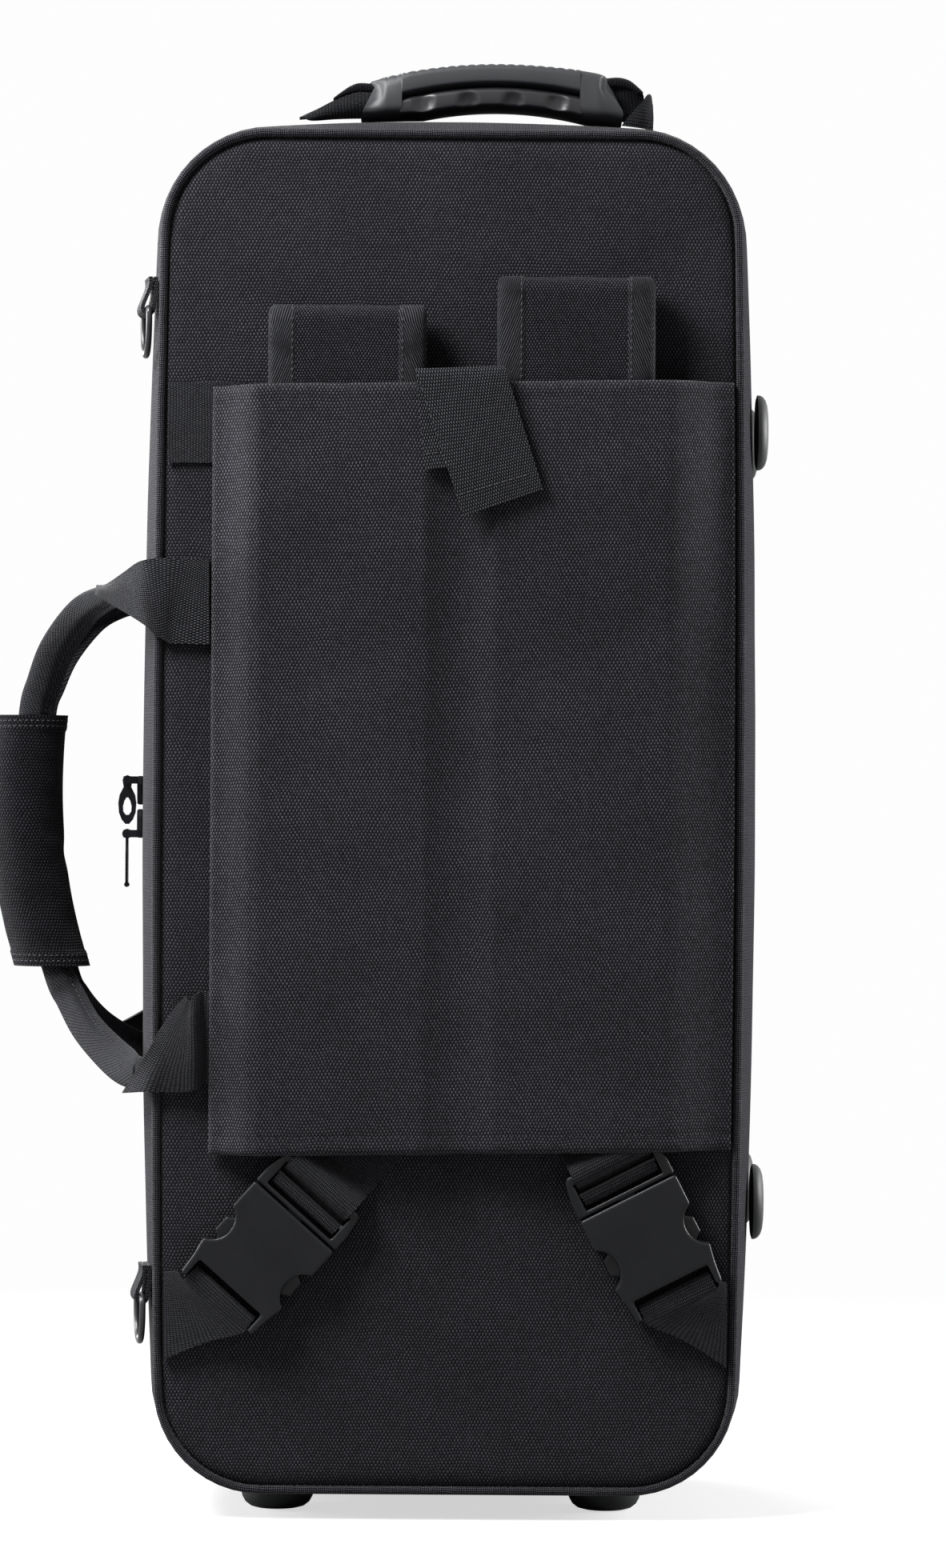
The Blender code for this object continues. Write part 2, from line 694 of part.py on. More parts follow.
def inserts():
    places = all_places()
    inside = SEAM_OUT - ZIP_TAPE_THICKNESS - GUSSET_THICKNESS - SHELL_WALL - INSERT_CLEARANCE
    back_floor = -(BACK_DEPTH - PANEL_THICKNESS - SHELL_WALL - 2 * GAP)
    low = SEAM_OUT - GUSSET_THICKNESS - GAP - SHELL_WALL - INSERT_CLEARANCE
    spread = bulge_at(BACK_DEPTH, BACK_DEPTH)
    foam = [ring(places, low, 0, back_floor)]
    foam.append(ring(places, inside, spread - INSERT_CLEARANCE, -INSERT_RECESS))
    base = piece("base_insert", "root", loft(foam), plush_look)
    sax_depth = -back_floor - INSERT_RECESS - INSERT_FLOOR
    body_bay = capsule(SAX_BODY_BOTTOM, SAX_BODY_BOTTOM_RADIUS, SAX_BODY_TOP, SAX_BODY_TOP_RADIUS)
    bell_bay = capsule(SAX_BELL_BOTTOM, SAX_BELL_BOTTOM_RADIUS, SAX_BELL_TOP, SAX_BELL_TOP_RADIUS)
    neck_bay = capsule(NECK_BAY_BOTTOM, NECK_BAY_RADIUS, NECK_BAY_TOP, NECK_BAY_RADIUS)
    mouth_bay = capsule(
        MOUTHPIECE_BAY_BOTTOM, MOUTHPIECE_BAY_RADIUS, MOUTHPIECE_BAY_TOP, MOUTHPIECE_BAY_RADIUS
    )
    bays = (
        ("sax_body_bay", body_bay, sax_depth),
        ("sax_bell_bay", bell_bay, sax_depth),
        ("neck_bay", neck_bay, NECK_BAY_DEPTH),
        ("mouthpiece_bay", mouth_bay, MOUTHPIECE_BAY_DEPTH),
    )
    for name, outline, depth in bays:
        boolean(base, bay(name, "root", outline, -INSERT_RECESS, depth, -1))

    lid_floor = LID_DEPTH - PANEL_THICKNESS - SHELL_WALL - 2 * GAP
    foam = [ring(places, low, 0, lid_floor)]
    foam.append(ring(places, inside, spread - INSERT_CLEARANCE, INSERT_RECESS))
    top = piece("lid_insert", "lid", loft(foam), plush_look)
    for name, outline in (("lid_body_bay", body_bay), ("lid_bell_bay", bell_bay)):
        boolean(top, bay(name, "lid", outline, INSERT_RECESS, LID_RECESS_DEPTH, 1))


# Feet


def foot(name, body, base, outward, height):
    """A domed rubber foot: a half profile turned round the axis that points out of the case."""
    rise = height - FOOT_FLANGE
    profile = [(FOOT_RADIUS, 0), (FOOT_RADIUS, FOOT_FLANGE)]
    for share_out, share_up in FOOT_PROFILE_SHARES:
        profile.append((FOOT_RADIUS * share_out, FOOT_FLANGE + rise * share_up))
    profile.append((FOOT_SOLE_RADIUS, height))
    turn = Vector(outward).to_track_quat("Z", "Y").to_matrix().to_4x4()
    frame = Matrix.Translation(Vector(base)) @ turn
    rings = []
    for radius, up in profile:
        angles = [2 * pi * k / FOOT_STEPS for k in range(FOOT_STEPS)]
        rings.append([frame @ Vector((radius * cos(a), radius * sin(a), up)) for a in angles])
    piece(name, body, loft(rings), foot_look)


def feet():
    halves = (("back", "root", -1, BACK_DEPTH), ("lid", "lid", 1, LID_DEPTH))
    for suffix, body, side, depth in halves:
        y = side * depth * (1 - FOOT_DEPTH_SHARE)
        edge = min(depth * FOOT_DEPTH_SHARE + FOOT_RADIUS, depth)
        sole_top = SEAM_BOTTOM - SEAM_OUT - bulge_at(depth, edge) * BOTTOM_BULGE_SHARE - GAP
        for word, x in zip(("left", "right"), BOTTOM_FOOT_X):
            base = (x, y, sole_top)
            foot("bottom_foot_%s_%s" % (suffix, word), body, base, (0, 0, -1), sole_top + CASE_LIFT)
        for word, z in zip(("upper", "lower"), SIDE_FOOT_Z):
            near = z - FOOT_RADIUS if z > MIDDLE_Z else z + FOOT_RADIUS
            base = side_out(near, depth, edge) + GAP
            height = SIDE_FOOT_OUTER - base
            foot("side_foot_%s_%s" % (suffix, word), body, (base, y, z), (1, 0, 0), height)


# Shoulder straps


def flat_band(start_x, end_x, z, lift):
    """Webbing lying on the back panel, lifted over the piping at its outer end."""
    rest = PANEL_FACE - GAP - WEBBING_THICKNESS / 2
    path = [
        Vector((mix(start_x, end_x, share), rest - lift * up, z)) for share, up in BAND_LIFT_SHARES
    ]
    return band(path, [Vector((0, 0, WEBBING_WIDTH / 2))] * len(path), WEBBING_THICKNESS)


def shoulder_strap(name, x, top):
    """A padded strap, sewn to the band, folded over at the top and laid down under the flap."""
    half = STRAP_THICKNESS / 2
    rear = PANEL_FACE - 2 * GAP - WEBBING_THICKNESS - GAP - half
    front = rear - STRAP_THICKNESS - 2 * GAP
    low = PANEL_FACE - 2 * GAP - WEBBING_THICKNESS - half
    radius = (rear - front) / 2
    bend = top - half - radius
    path = [Vector((x, rear, mix(STRAP_SEWN_Z, bend, share))) for share in (0, 0.5)]
    for k in range(STRAP_FOLD_STEPS + 1):
        angle = pi * k / STRAP_FOLD_STEPS
        path.append(Vector((x, (rear + front) / 2 + radius * cos(angle), bend + radius * sin(angle))))
    path.append(Vector((x, front, mix(bend, STRAP_EASE_TOP, 0.5))))
    for k in range(STRAP_FOLD_STEPS):
        share = k / (STRAP_FOLD_STEPS - 1)
        z = mix(STRAP_EASE_TOP, STRAP_EASE_BOTTOM, share)
        path.append(Vector((x, mix(front, low, ease(share)), z)))
    for share in (0.33, 0.66, 1):
        path.append(Vector((x, low, mix(STRAP_EASE_BOTTOM, STRAP_END_Z, share))))
    across = []
    for point in path:
        share = ease((STRAP_EASE_BOTTOM - point.z) / (STRAP_EASE_BOTTOM - STRAP_END_Z))
        across.append(Vector((mix(STRAP_TOP_WIDTH, STRAP_END_WIDTH, share) / 2, 0, 0)))
    shape = band(path, across, STRAP_THICKNESS, STRAP_SECTION_SHARES)
    piece(name, "root", shape, strap_look)


# Strap cover flap


def flap_lift(x, share_down):
    """Height of the flap's inner face above the back panel."""
    left_rise = STRAP_LEFT_X - STRAP_TOP_WIDTH / 2
    right_fall = STRAP_RIGHT_X + STRAP_TOP_WIDTH / 2 + FLAP_FALL_MARGIN
    right = seam_x(MIDDLE_Z)
    down = (share_down - FLAP_EASE_START_SHARE) / FLAP_EASE_SHARE
    high = mix(FLAP_TOP_LIFT, FLAP_LOW_LIFT, ease(down))
    if x < left_rise:
        share = (x - FLAP_LEFT) / (left_rise - FLAP_LEFT)
        return mix(FLAP_EDGE_LIFT, high, ease(share * 1.15))
    if x > right_fall:
        share = (x - right_fall) / (right - right_fall)
        return mix(high, FLAP_SEAM_LIFT, ease(share * 1.06))
    gap_left = STRAP_LEFT_X + STRAP_TOP_WIDTH / 2
    gap_right = STRAP_RIGHT_X - STRAP_TOP_WIDTH / 2
    share = (x - gap_left) / (gap_right - gap_left)
    dip = sin(pi * share) if 0 < share < 1 else 0
    return high * (1 - FLAP_DIP_SHARE * dip)


def flap_point(share_across, share_down, out=0.0):
    z = mix(FLAP_TOP, FLAP_BOTTOM, share_down) + FLAP_TILT * (share_across - 0.5)
    x = mix(FLAP_LEFT, seam_x(z) - 2 * GAP, share_across)
    return Vector((x, PANEL_FACE - flap_lift(x, share_down) - out, z))


def strap_cover():
    rings = []
    for row in range(FLAP_ROWS + 1):
        down = row / FLAP_ROWS
        outer = [flap_point(k / FLAP_COLUMNS, down, FLAP_THICKNESS) for k in range(FLAP_COLUMNS + 1)]
        inner = [flap_point(k / FLAP_COLUMNS, down) for k in range(FLAP_COLUMNS, -1, -1)]
        rings.append(outer + inner)
    piece("strap_cover", "flap", loft(rings), cover_look)


def pull_tab():
    """A strip of webbing sewn on at the flap's top hem and folded down over itself."""
    layer = WEBBING_THICKNESS + TAB_LAYER_GAP

    def across_at(left, right, out):
        low = Vector((left[0], 0, left[1]))
        high = Vector((right[0], 0, right[1]))
        middle = (low + high) / 2
        down = max((FLAP_TOP - middle.z) / (FLAP_TOP - FLAP_BOTTOM), 0)
        lift = max(flap_lift(mix(low.x, high.x, share), down) for share in (0, 0.25, 0.5, 0.75, 1))
        middle.y = PANEL_FACE - lift - FLAP_THICKNESS - GAP - WEBBING_THICKNESS / 2 - out
        return middle, (high - low) / 2

    rows = [across_at(TAB_BACK_END_LEFT, TAB_BACK_END_RIGHT, GAP * 2)]
    for share in (0.35, 0.7, 0.94):
        left = [mix(a, b, share) for a, b in zip(TAB_BACK_END_LEFT, TAB_FOLD_LEFT)]
        right = [mix(a, b, share) for a, b in zip(TAB_BACK_END_RIGHT, TAB_FOLD_RIGHT)]
        rows.append(across_at(left, right, GAP * 2))
    fold, half = across_at(TAB_FOLD_LEFT, TAB_FOLD_RIGHT, GAP * 2 + layer / 2)
    rows.append((fold, half))
    for share in (0.06, 0.35, 0.7, 1):
        left = [mix(a, b, share) for a, b in zip(TAB_FOLD_LEFT, TAB_END_LEFT)]
        right = [mix(a, b, share) for a, b in zip(TAB_FOLD_RIGHT, TAB_END_RIGHT)]
        rows.append(across_at(left, right, GAP * 2 + layer))
    rings = []
    path = [row[0] for row in rows]
    for i, (middle, half) in enumerate(rows):
        heading = path[min(i + 1, len(path) - 1)] - path[max(i - 1, 0)]
        up = heading.cross(half).normalized() * WEBBING_THICKNESS / 2
        rings.append([middle + half * u + up * v for u, v in ((-1, -1), (1, -1), (1, 1), (-1, 1))])
    piece("pull_tab", "flap", loft(rings), webbing_look)


# Side handles


def handle_path(side, depth):
    """The handle's middle line, its half width and half thickness, from the upper anchor to the lower."""
    corner = PANEL_WIDTH / 2 + SEAM_OUT + GAP
    start_y = depth + PIPING_PROUD + WEBBING_THICKNESS / 2 + 2 * GAP
    rows = []
    for drop, reach, inward, fold in smooth_route(HANDLE_ROUTE_SHARES, HANDLE_STEPS):
        fold = min(max(fold, 0), 1)
        point = Vector((
            -corner - HINGE_ROOM / 3 - reach * HANDLE_REACH,
            side * mix(start_y, HANDLE_PLANE, inward),
            mix(HANDLE_TOP_Z, HANDLE_BOTTOM_Z, drop),
        ))
        width = mix(WEBBING_WIDTH, HANDLE_TUBE_WIDTH, ease(fold)) / 2
        thickness = mix(WEBBING_THICKNESS, HANDLE_TUBE_THICKNESS, ease(fold)) / 2
        rows.append((point, width, thickness, fold))
    return rows


def carry_handle(name, body, side, depth):
    rows = handle_path(side, depth)
    path = [row[0] for row in rows]
    outward = Vector((0, side, 0))
    rings = []
    for (point, width, thickness, fold), heading in zip(rows, along_route(path)):
        up = (outward - outward.dot(heading) * heading).normalized()
        across = heading.cross(up)
        upright = Vector((0, 0, 1 if across.z > 0 else -1))
        if fold < 1:
            across = mix(upright, across, fold).normalized()
        angles = [2 * pi * (k + 0.5) / HANDLE_SIDES for k in range(HANDLE_SIDES)]
        rings.append([
            point + across * width * cos(a) / cos(pi / HANDLE_SIDES) + up * thickness * sin(a)
            for a in angles
        ])
    piece(name, body, loft(rings), webbing_look)


def grip_wrap(name, body, side, depth):
    """Half of the padded wrap that closes round both handles; its two lips meet the other half's."""
    middle = [row[0] for row in handle_path(side, depth)]
    high = mix(HANDLE_TOP_Z, HANDLE_BOTTOM_Z, GRIP_START_SHARE)
    low = mix(HANDLE_TOP_Z, HANDLE_BOTTOM_Z, GRIP_END_SHARE)

    def centre_at(z):
        for before, after in zip(middle, middle[1:]):
            if before.z >= z > after.z:
                return mix(before.x, after.x, (before.z - z) / (before.z - after.z))
        return middle[-1].x

    angles = [pi * k / GRIP_STEPS for k in range(GRIP_STEPS + 1)]
    rings = []
    for row in range(GRIP_ROWS + 1):
        z = mix(high, low, row / GRIP_ROWS)
        x = centre_at(z)
        outer = [
            Vector((x + GRIP_WIDTH / 2 * cos(a), side * (GAP + (GRIP_HEIGHT - GAP) * sin(a)), z))
            for a in angles
        ]
        inner = [
            Vector((
                x + (GRIP_WIDTH / 2 - GRIP_WALL) * cos(a),
                side * (GAP + (GRIP_HEIGHT - GRIP_WALL - GAP) * sin(a)),
                z,
            ))
            for a in reversed(angles)
        ]
        rings.append(outer + inner)
    piece(name, body, loft(rings), cover_look)


def handle_anchor(name, z):
    end = -(PANEL_WIDTH / 2 + SEAM_OUT + GAP) + HINGE_ROOM
    shape = flat_band(end + ANCHOR_LENGTH, end, z, PIPING_PROUD + GAP)
    piece(name, "root", shape, webbing_look)


# Top handle


def top_out(x, from_panel):
    """Height of the back half's gusset at the top of the case."""
    t = min(abs(x) / STRAIGHT_X, 1)
    past = max(abs(x) - STRAIGHT_X, 0)
    share = 1 + CROWN_SHARE * (1 - t * t) + TOP_BULGE_SHARE * (1 - (past / CORNER_RADIUS) ** 2)
    height = CORNER_RADIUS + SEAM_OUT + bulge_at(BACK_DEPTH, from_panel) * share
    if past > 0:
        step = pi / 2 / CORNER_STEPS
        middle = (asin(past / height) // step + 0.5) * step
        height = (height * cos(step / 2) - past * sin(middle)) / cos(middle)
    return SEAM_TOP - CORNER_RADIUS + height


def top_handle_place():
    """The handle's axis runs through its sewn ends, a little below the highest part of the top."""
    from_panel = BACK_DEPTH * FOOT_DEPTH_SHARE
    return Vector((0, from_panel - BACK_DEPTH, top_out(0, from_panel) - TOP_HANDLE_DROP))


def top_handle():
    pivot = top_handle_place()
    half_length = TOP_GRIP_LENGTH / 2
    crest = top_out(TOP_GRIP_X, BACK_DEPTH * FOOT_DEPTH_SHARE) + TOP_GRIP_CLEARANCE + TOP_GRIP_HEIGHT
    channel = TOP_CHANNEL_WIDTH / TOP_GRIP_WIDTH
    roof_drop = TOP_GRIP_HEIGHT * (1 - TOP_CHANNEL_SHARE)
    rings = []
    for k in range(TOP_GRIP_ROWS + 1):
        t = -1 + 2 * k / TOP_GRIP_ROWS
        top = crest - TOP_GRIP_ARCH * t * t
        height = TOP_GRIP_HEIGHT - (TOP_GRIP_ARCH - TOP_GRIP_UNDER_ARCH) * t * t
        middle = top - height / 2
        ends = 1 - 0.16 * ease((abs(t) - 0.86) / 0.14)
        reach = min(abs(t) / TOP_SCALLOP_REACH_SHARE, 1)
        wave = abs(sin(pi * TOP_SCALLOPS / 2 * t)) if reach < 1 else 1
        dip = TOP_SCALLOP_DEPTH * (1 - wave)
        points = []
        for u, v in TOP_GRIP_SECTION_SHARES:
            fall = dip * max(v, 0)
            points.append((u * TOP_GRIP_WIDTH / 2 * ends, v * height / 2 - fall))
        low = -height / 2
        roof = height / 2 - roof_drop
        for u, v in ((channel, low), (channel, roof), (-channel, roof), (-channel, low), (-0.88, low)):
            points.append((u * TOP_GRIP_WIDTH / 2, v))
        rings.append([
            Vector((TOP_GRIP_X + t * half_length, pivot.y + y, middle + z)) for y, z in points
        ])
    piece("top_handle_grip", "top_handle", loft(rings), rubber_look)

    neck = pivot.z + TOP_WEBBING_NECK_RISE
    feet_z = [
        top_out(x, BACK_DEPTH + pivot.y) + GAP + TOP_WEBBING_THICKNESS / 2
        for x in (TOP_WEBBING_LEFT, TOP_WEBBING_RIGHT)
    ]
    places = [(TOP_WEBBING_LEFT, feet_z[0]), (TOP_WEBBING_LEFT + TOP_WEBBING_INWARD, neck)]
    for share in (-1.0, -0.86, -0.6, -0.3, 0, 0.3, 0.6, 0.86, 1.0):
        top = crest - TOP_GRIP_ARCH * share * share - roof_drop
        places.append((TOP_GRIP_X + share * half_length, top - GAP - TOP_WEBBING_THICKNESS / 2))
    places += [(TOP_WEBBING_RIGHT - TOP_WEBBING_INWARD / 2, neck), (TOP_WEBBING_RIGHT, feet_z[1])]
    path = [Vector((x, pivot.y, z)) for x, z in places]
    across = [Vector((0, TOP_WEBBING_WIDTH / 2, 0))] * len(path)
    across[0] = across[0] * TOP_WEBBING_END_SHARE
    across[-1] = across[-1] * TOP_WEBBING_END_SHARE
    strip = band(path, across, TOP_WEBBING_THICKNESS)
    piece("top_handle_webbing", "top_handle", strip, webbing_look)

    rings = []
    half = TOP_CHANNEL_WIDTH / 2 - GAP
    for k in range(TOP_GRIP_ROWS // 2 + 1):
        t = (-1 + 4 * k / TOP_GRIP_ROWS) * TOP_INSERT_LENGTH_SHARE
        line = crest - TOP_GRIP_ARCH * t * t - roof_drop - 2 * GAP - TOP_WEBBING_THICKNESS
        groove = FINGER_GROOVE_DEPTH * (0.5 - 0.5 * cos(2 * pi * FINGER_GROOVES * (t + 1) / 2))
        bottom = crest - TOP_GRIP_UNDER_ARCH * t * t - TOP_GRIP_HEIGHT + groove
        x = TOP_GRIP_X + t * half_length
        section = ((-half, line), (half, line), (half, bottom + half / 8), (half * 0.7, bottom))
        section += ((-half * 0.7, bottom), (-half, bottom + half / 8))
        rings.append([Vector((x, pivot.y + y, z)) for y, z in section])
    piece("top_handle_insert", "top_handle", loft(rings), rubber_look)


# Side-release buckles, each in a frame of its own: u along the strap, v across it, w out of the panel


def buckle_frame(foot_place, lean):
    along = Vector((cos(lean), 0, sin(lean)))
    out = Vector((0, -1, 0))
    across = out.cross(along)
    frame = Matrix((along, across, out)).transposed().to_4x4()
    origin = Vector((foot_place[0], PANEL_FACE - GAP, foot_place[1]))
    return Matrix.Translation(origin) @ frame


def mirrored(half):
    return half + [(u, -v) for u, v in reversed(half)]


def plate(outline, low, high, frame):
    points = [frame @ Vector((u, v, low)) for u, v in outline]
    return extruded(points, frame.to_3x3() @ Vector((0, 0, high - low)))


def buckle_body(name, frame):
    """The part that takes the prongs: a hollow box with a window in each side, and two horns with a bar."""
    half = [(HORN_LENGTH, HORN_INNER_HALF), (0, HORN_INNER_HALF), (0, HORN_TIP_HALF)]
    half.append((HORN_LENGTH, BUCKLE_WAIST_HALF))
    centre_v = WINDOW_DEPTH_HALF + WINDOW_RADIUS
    reach = (WINDOW_RADIUS ** 2 - (centre_v - BUCKLE_HALF_WIDTH) ** 2) ** 0.5
    sweep = Vector((reach, BUCKLE_HALF_WIDTH - centre_v)).angle(Vector((0, -1)))
    for k in range(WINDOW_STEPS + 1):
        angle = -pi / 2 - sweep + 2 * sweep * k / WINDOW_STEPS
        half.append((WINDOW_ALONG + WINDOW_RADIUS * cos(angle), centre_v + WINDOW_RADIUS * sin(angle)))
    half.append((BUCKLE_SEAM - BUCKLE_BEVEL, BUCKLE_HALF_WIDTH))
    half.append((BUCKLE_SEAM, BUCKLE_HALF_WIDTH - BUCKLE_BEVEL))
    body = piece(name, "root", plate(mirrored(half), 0, BUCKLE_HEIGHT, frame), plastic_look)
    bevel(body, BUCKLE_BEVEL, 2, 50)
    overlap = (HORN_TIP_HALF - HORN_INNER_HALF) / 2
    low = (BAR_NEAR, -HORN_INNER_HALF - overlap, BAR_LOW)
    high = (BAR_FAR, HORN_INNER_HALF + overlap, BAR_HIGH)
    boolean(body, cutter(name + "_bar", "root", block(low, high, frame)), "UNION")
    low = (CAVITY_END, -CAVITY_HALF_WIDTH, CAVITY_WALL)
    high = (BUCKLE_SEAM + CUT, CAVITY_HALF_WIDTH, BUCKLE_HEIGHT - CAVITY_WALL)
    boolean(body, cutter(name + "_cavity", "root", block(low, high, frame)))


def slot_places():
    """Where the frame's two slots start and end along the strap, the upper one first."""
    upper_end = BUCKLE_LENGTH - TOP_BAR_WIDTH
    upper = upper_end - SLOT_WIDTH
    lower_end = upper - MIDDLE_BAR_WIDTH
    return (upper, upper_end), (lower_end - SLOT_WIDTH, lower_end)


def buckle_upper(name, frame):
    """The part on the strap: a frame with two slots round a thinner middle bar, and a guide tongue."""
    start = BUCKLE_SEAM + GAP
    half = [(start, BUCKLE_HALF_WIDTH - BUCKLE_BEVEL), (start + BUCKLE_BEVEL, BUCKLE_HALF_WIDTH)]
    half.append((mix(start, BUCKLE_LENGTH, 0.45), BUCKLE_HALF_WIDTH))
    half.append((BUCKLE_LENGTH - TOP_BAR_WIDTH / 2, FRAME_TOP_HALF + BUCKLE_BEVEL))
    half.append((BUCKLE_LENGTH, FRAME_TOP_HALF - BUCKLE_BEVEL))
    high = FRAME_LIFT + FRAME_HEIGHT
    body = piece(name, "root", plate(mirrored(half), FRAME_LIFT, high, frame), plastic_look)
    bevel(body, BUCKLE_BEVEL, 2, 50)
    middle = (CAVITY_WALL + BUCKLE_HEIGHT - CAVITY_WALL) / 2
    thick = (BUCKLE_HEIGHT - 2 * CAVITY_WALL) / 2 - 2 * GAP
    low = (start - TONGUE_LENGTH, -TONGUE_HALF_WIDTH, middle - thick)
    tip = (start + BUCKLE_BEVEL, TONGUE_HALF_WIDTH, middle + thick)
    boolean(body, cutter(name + "_tongue", "root", block(low, tip, frame)), "UNION")
    (upper, upper_end), (lower, lower_end) = slot_places()
    low = (lower, -SLOT_HALF_WIDTH, FRAME_LIFT - CUT)
    tip = (upper_end, SLOT_HALF_WIDTH, high + CUT)
    boolean(body, cutter(name + "_opening", "root", block(low, tip, frame)))
    bar_low = FRAME_LIFT + (FRAME_HEIGHT - MIDDLE_BAR_HEIGHT) / 2
    bar_half = (SLOT_HALF_WIDTH + FRAME_TOP_HALF) / 2
    low = (lower_end, -bar_half, bar_low)
    tip = (upper, bar_half, bar_low + MIDDLE_BAR_HEIGHT)
    boolean(body, cutter(name + "_middle_bar", "root", block(low, tip, frame)), "UNION")


def prong_pivot():
    return BUCKLE_SEAM - PRONG_ROOT_RADIUS, PRONG_ROOT_OUT


def prong(name, body, frame, sign):
    """A springy arm whose button shows in the window of the lower part."""
    root_u, root_v = prong_pivot()
    outline = []
    for k in range(WINDOW_STEPS // 2 + 1):
        angle = pi / 2 - pi * k / (WINDOW_STEPS // 2)
        outline.append((root_u + PRONG_ROOT_RADIUS * cos(angle), root_v + PRONG_ROOT_RADIUS * sin(angle)))
    neck = WINDOW_ALONG + HEAD_HALF_LENGTH
    inner = root_v - PRONG_ARM_WIDTH / 2
    outline.append((neck, inner))
    outline.append((WINDOW_ALONG, HEAD_INNER))
    outline.append((WINDOW_ALONG - HEAD_HALF_LENGTH, HEAD_INNER + PRONG_ARM_WIDTH / 4))
    shoulder = CAVITY_HALF_WIDTH - 2 * GAP
    outline.append((WINDOW_ALONG - HEAD_HALF_LENGTH, shoulder - PRONG_ARM_WIDTH / 2))
    outline.append((WINDOW_ALONG - BUTTON_HALF_LENGTH - BUCKLE_BEVEL, shoulder))
    outline.append((WINDOW_ALONG - BUTTON_HALF_LENGTH, shoulder + 3 * GAP))
    outline.append((WINDOW_ALONG - BUTTON_HALF_LENGTH * 0.7, BUTTON_OUT))
    outline.append((WINDOW_ALONG + BUTTON_HALF_LENGTH * 0.7, BUTTON_OUT))
    outline.append((WINDOW_ALONG + BUTTON_HALF_LENGTH, shoulder + 3 * GAP))
    outline.append((WINDOW_ALONG + BUTTON_HALF_LENGTH + BUCKLE_BEVEL, shoulder))
    outline.append((neck, root_v + PRONG_ARM_WIDTH))
    middle = BUCKLE_HEIGHT / 2
    points = [(u, v * sign) for u, v in outline]
    shape = plate(points, middle - PRONG_THICKNESS / 2, middle + PRONG_THICKNESS / 2, frame)
    piece(name, body, shape, plastic_look)


def strap_webbing(name, frame):
    """From under the shoulder strap over the top bar, down, under the middle bar and up again."""
    (upper, upper_end), (lower, lower_end) = slot_places()
    half = WEBBING_THICKNESS / 2
    over = FRAME_LIFT + FRAME_HEIGHT + half + 2 * GAP
    under = FRAME_LIFT + (FRAME_HEIGHT - MIDDLE_BAR_HEIGHT) / 2 - half - 2 * GAP
    middle = FRAME_LIFT + FRAME_HEIGHT / 2
    bar_middle = (upper + lower_end) / 2
    rows = (
        (BUCKLE_LENGTH + STRAP_TAIL_LENGTH, half),
        (BUCKLE_LENGTH + STRAP_TAIL_LENGTH / 2, half),
        (BUCKLE_LENGTH + TOP_BAR_WIDTH * 3, half + 4 * GAP),
        (BUCKLE_LENGTH + TOP_BAR_WIDTH * 1.6, middle),
        (BUCKLE_LENGTH + TOP_BAR_WIDTH / 2, over + GAP),
        (upper_end, over + GAP),
        (upper_end - SLOT_WIDTH / 2 + GAP, middle + half),
        (upper + SLOT_WIDTH / 3, under + half),
        (bar_middle, under),
        (lower_end - SLOT_WIDTH / 3, under + half),
        (lower + SLOT_WIDTH / 2, middle),
        (lower_end - SLOT_WIDTH / 3, middle + MIDDLE_BAR_HEIGHT / 2 + half + 2 * GAP),
        (bar_middle, middle + MIDDLE_BAR_HEIGHT / 2 + half + 4 * GAP),
    )
    path = [frame @ Vector((u, 0, w)) for u, w in rows]
    across = [frame.to_3x3() @ Vector((0, WEBBING_WIDTH / 2, 0))] * len(path)
    shape = band(path, across, WEBBING_THICKNESS)
    piece(name, "root", shape, webbing_look)


def corner_webbing(name, frame, side, low_z, high_z):
    """Webbing sewn into the side seam, gathered, and looped round the buckle's bar."""
    x = side * (seam_x((low_z + high_z) / 2) - CORNER_END_SHORT)
    half = CORNER_BAND_THICKNESS / 2
    middle_z = (low_z + high_z) / 2
    sewn = Vector((x, PANEL_FACE - GAP, middle_z))
    sewn_half = Vector((0, 0, (high_z - low_z) / 2))
    bar_u = (BAR_NEAR + BAR_FAR) / 2
    bar_half = frame.to_3x3() @ Vector((0, CORNER_BAND_HALF, 0))
    if bar_half.dot(sewn_half) < 0:
        sewn_half = -sewn_half
    bar_w = (BAR_LOW + BAR_HIGH) / 2
    under = BAR_LOW - half - GAP
    over = BAR_HIGH + half + GAP
    room = (BAR_FAR - BAR_NEAR) / 2 + half + GAP
    rows = (
        (0.0, 0, half + GAP),
        (0.5, 0, half + 2 * GAP),
        (1.0, -2 * room, under - half),
        (1.0, -room * 0.4, under),
        (1.0, room * 0.95, under),
        (1.0, room * 1.25, bar_w),
        (1.0, room * 0.95, over),
        (1.0, -room * 0.4, over),
        (1.0, -2 * room, over - half),
        (0.5, 0, (over + 3 * half) / 2),
        (0.0, 0, 3 * half + 4 * GAP),
    )
    path = []
    across = []
    for share, along, height in rows:
        bar_point = frame @ Vector((bar_u + along, 0, height))
        sewn_point = sewn + Vector((0, -height, 0))
        path.append(mix(sewn_point, bar_point, share))
        across.append(mix(sewn_half, bar_half, share))
    rings = []
    for point, heading, half_width in zip(path, along_route(path), across):
        up = heading.cross(half_width).normalized() * half
        rings.append([point + half_width * u + up * v for u, v in ((-1, -1), (1, -1), (1, 1), (-1, 1))])
    piece(name, "root", loft(rings), webbing_look)


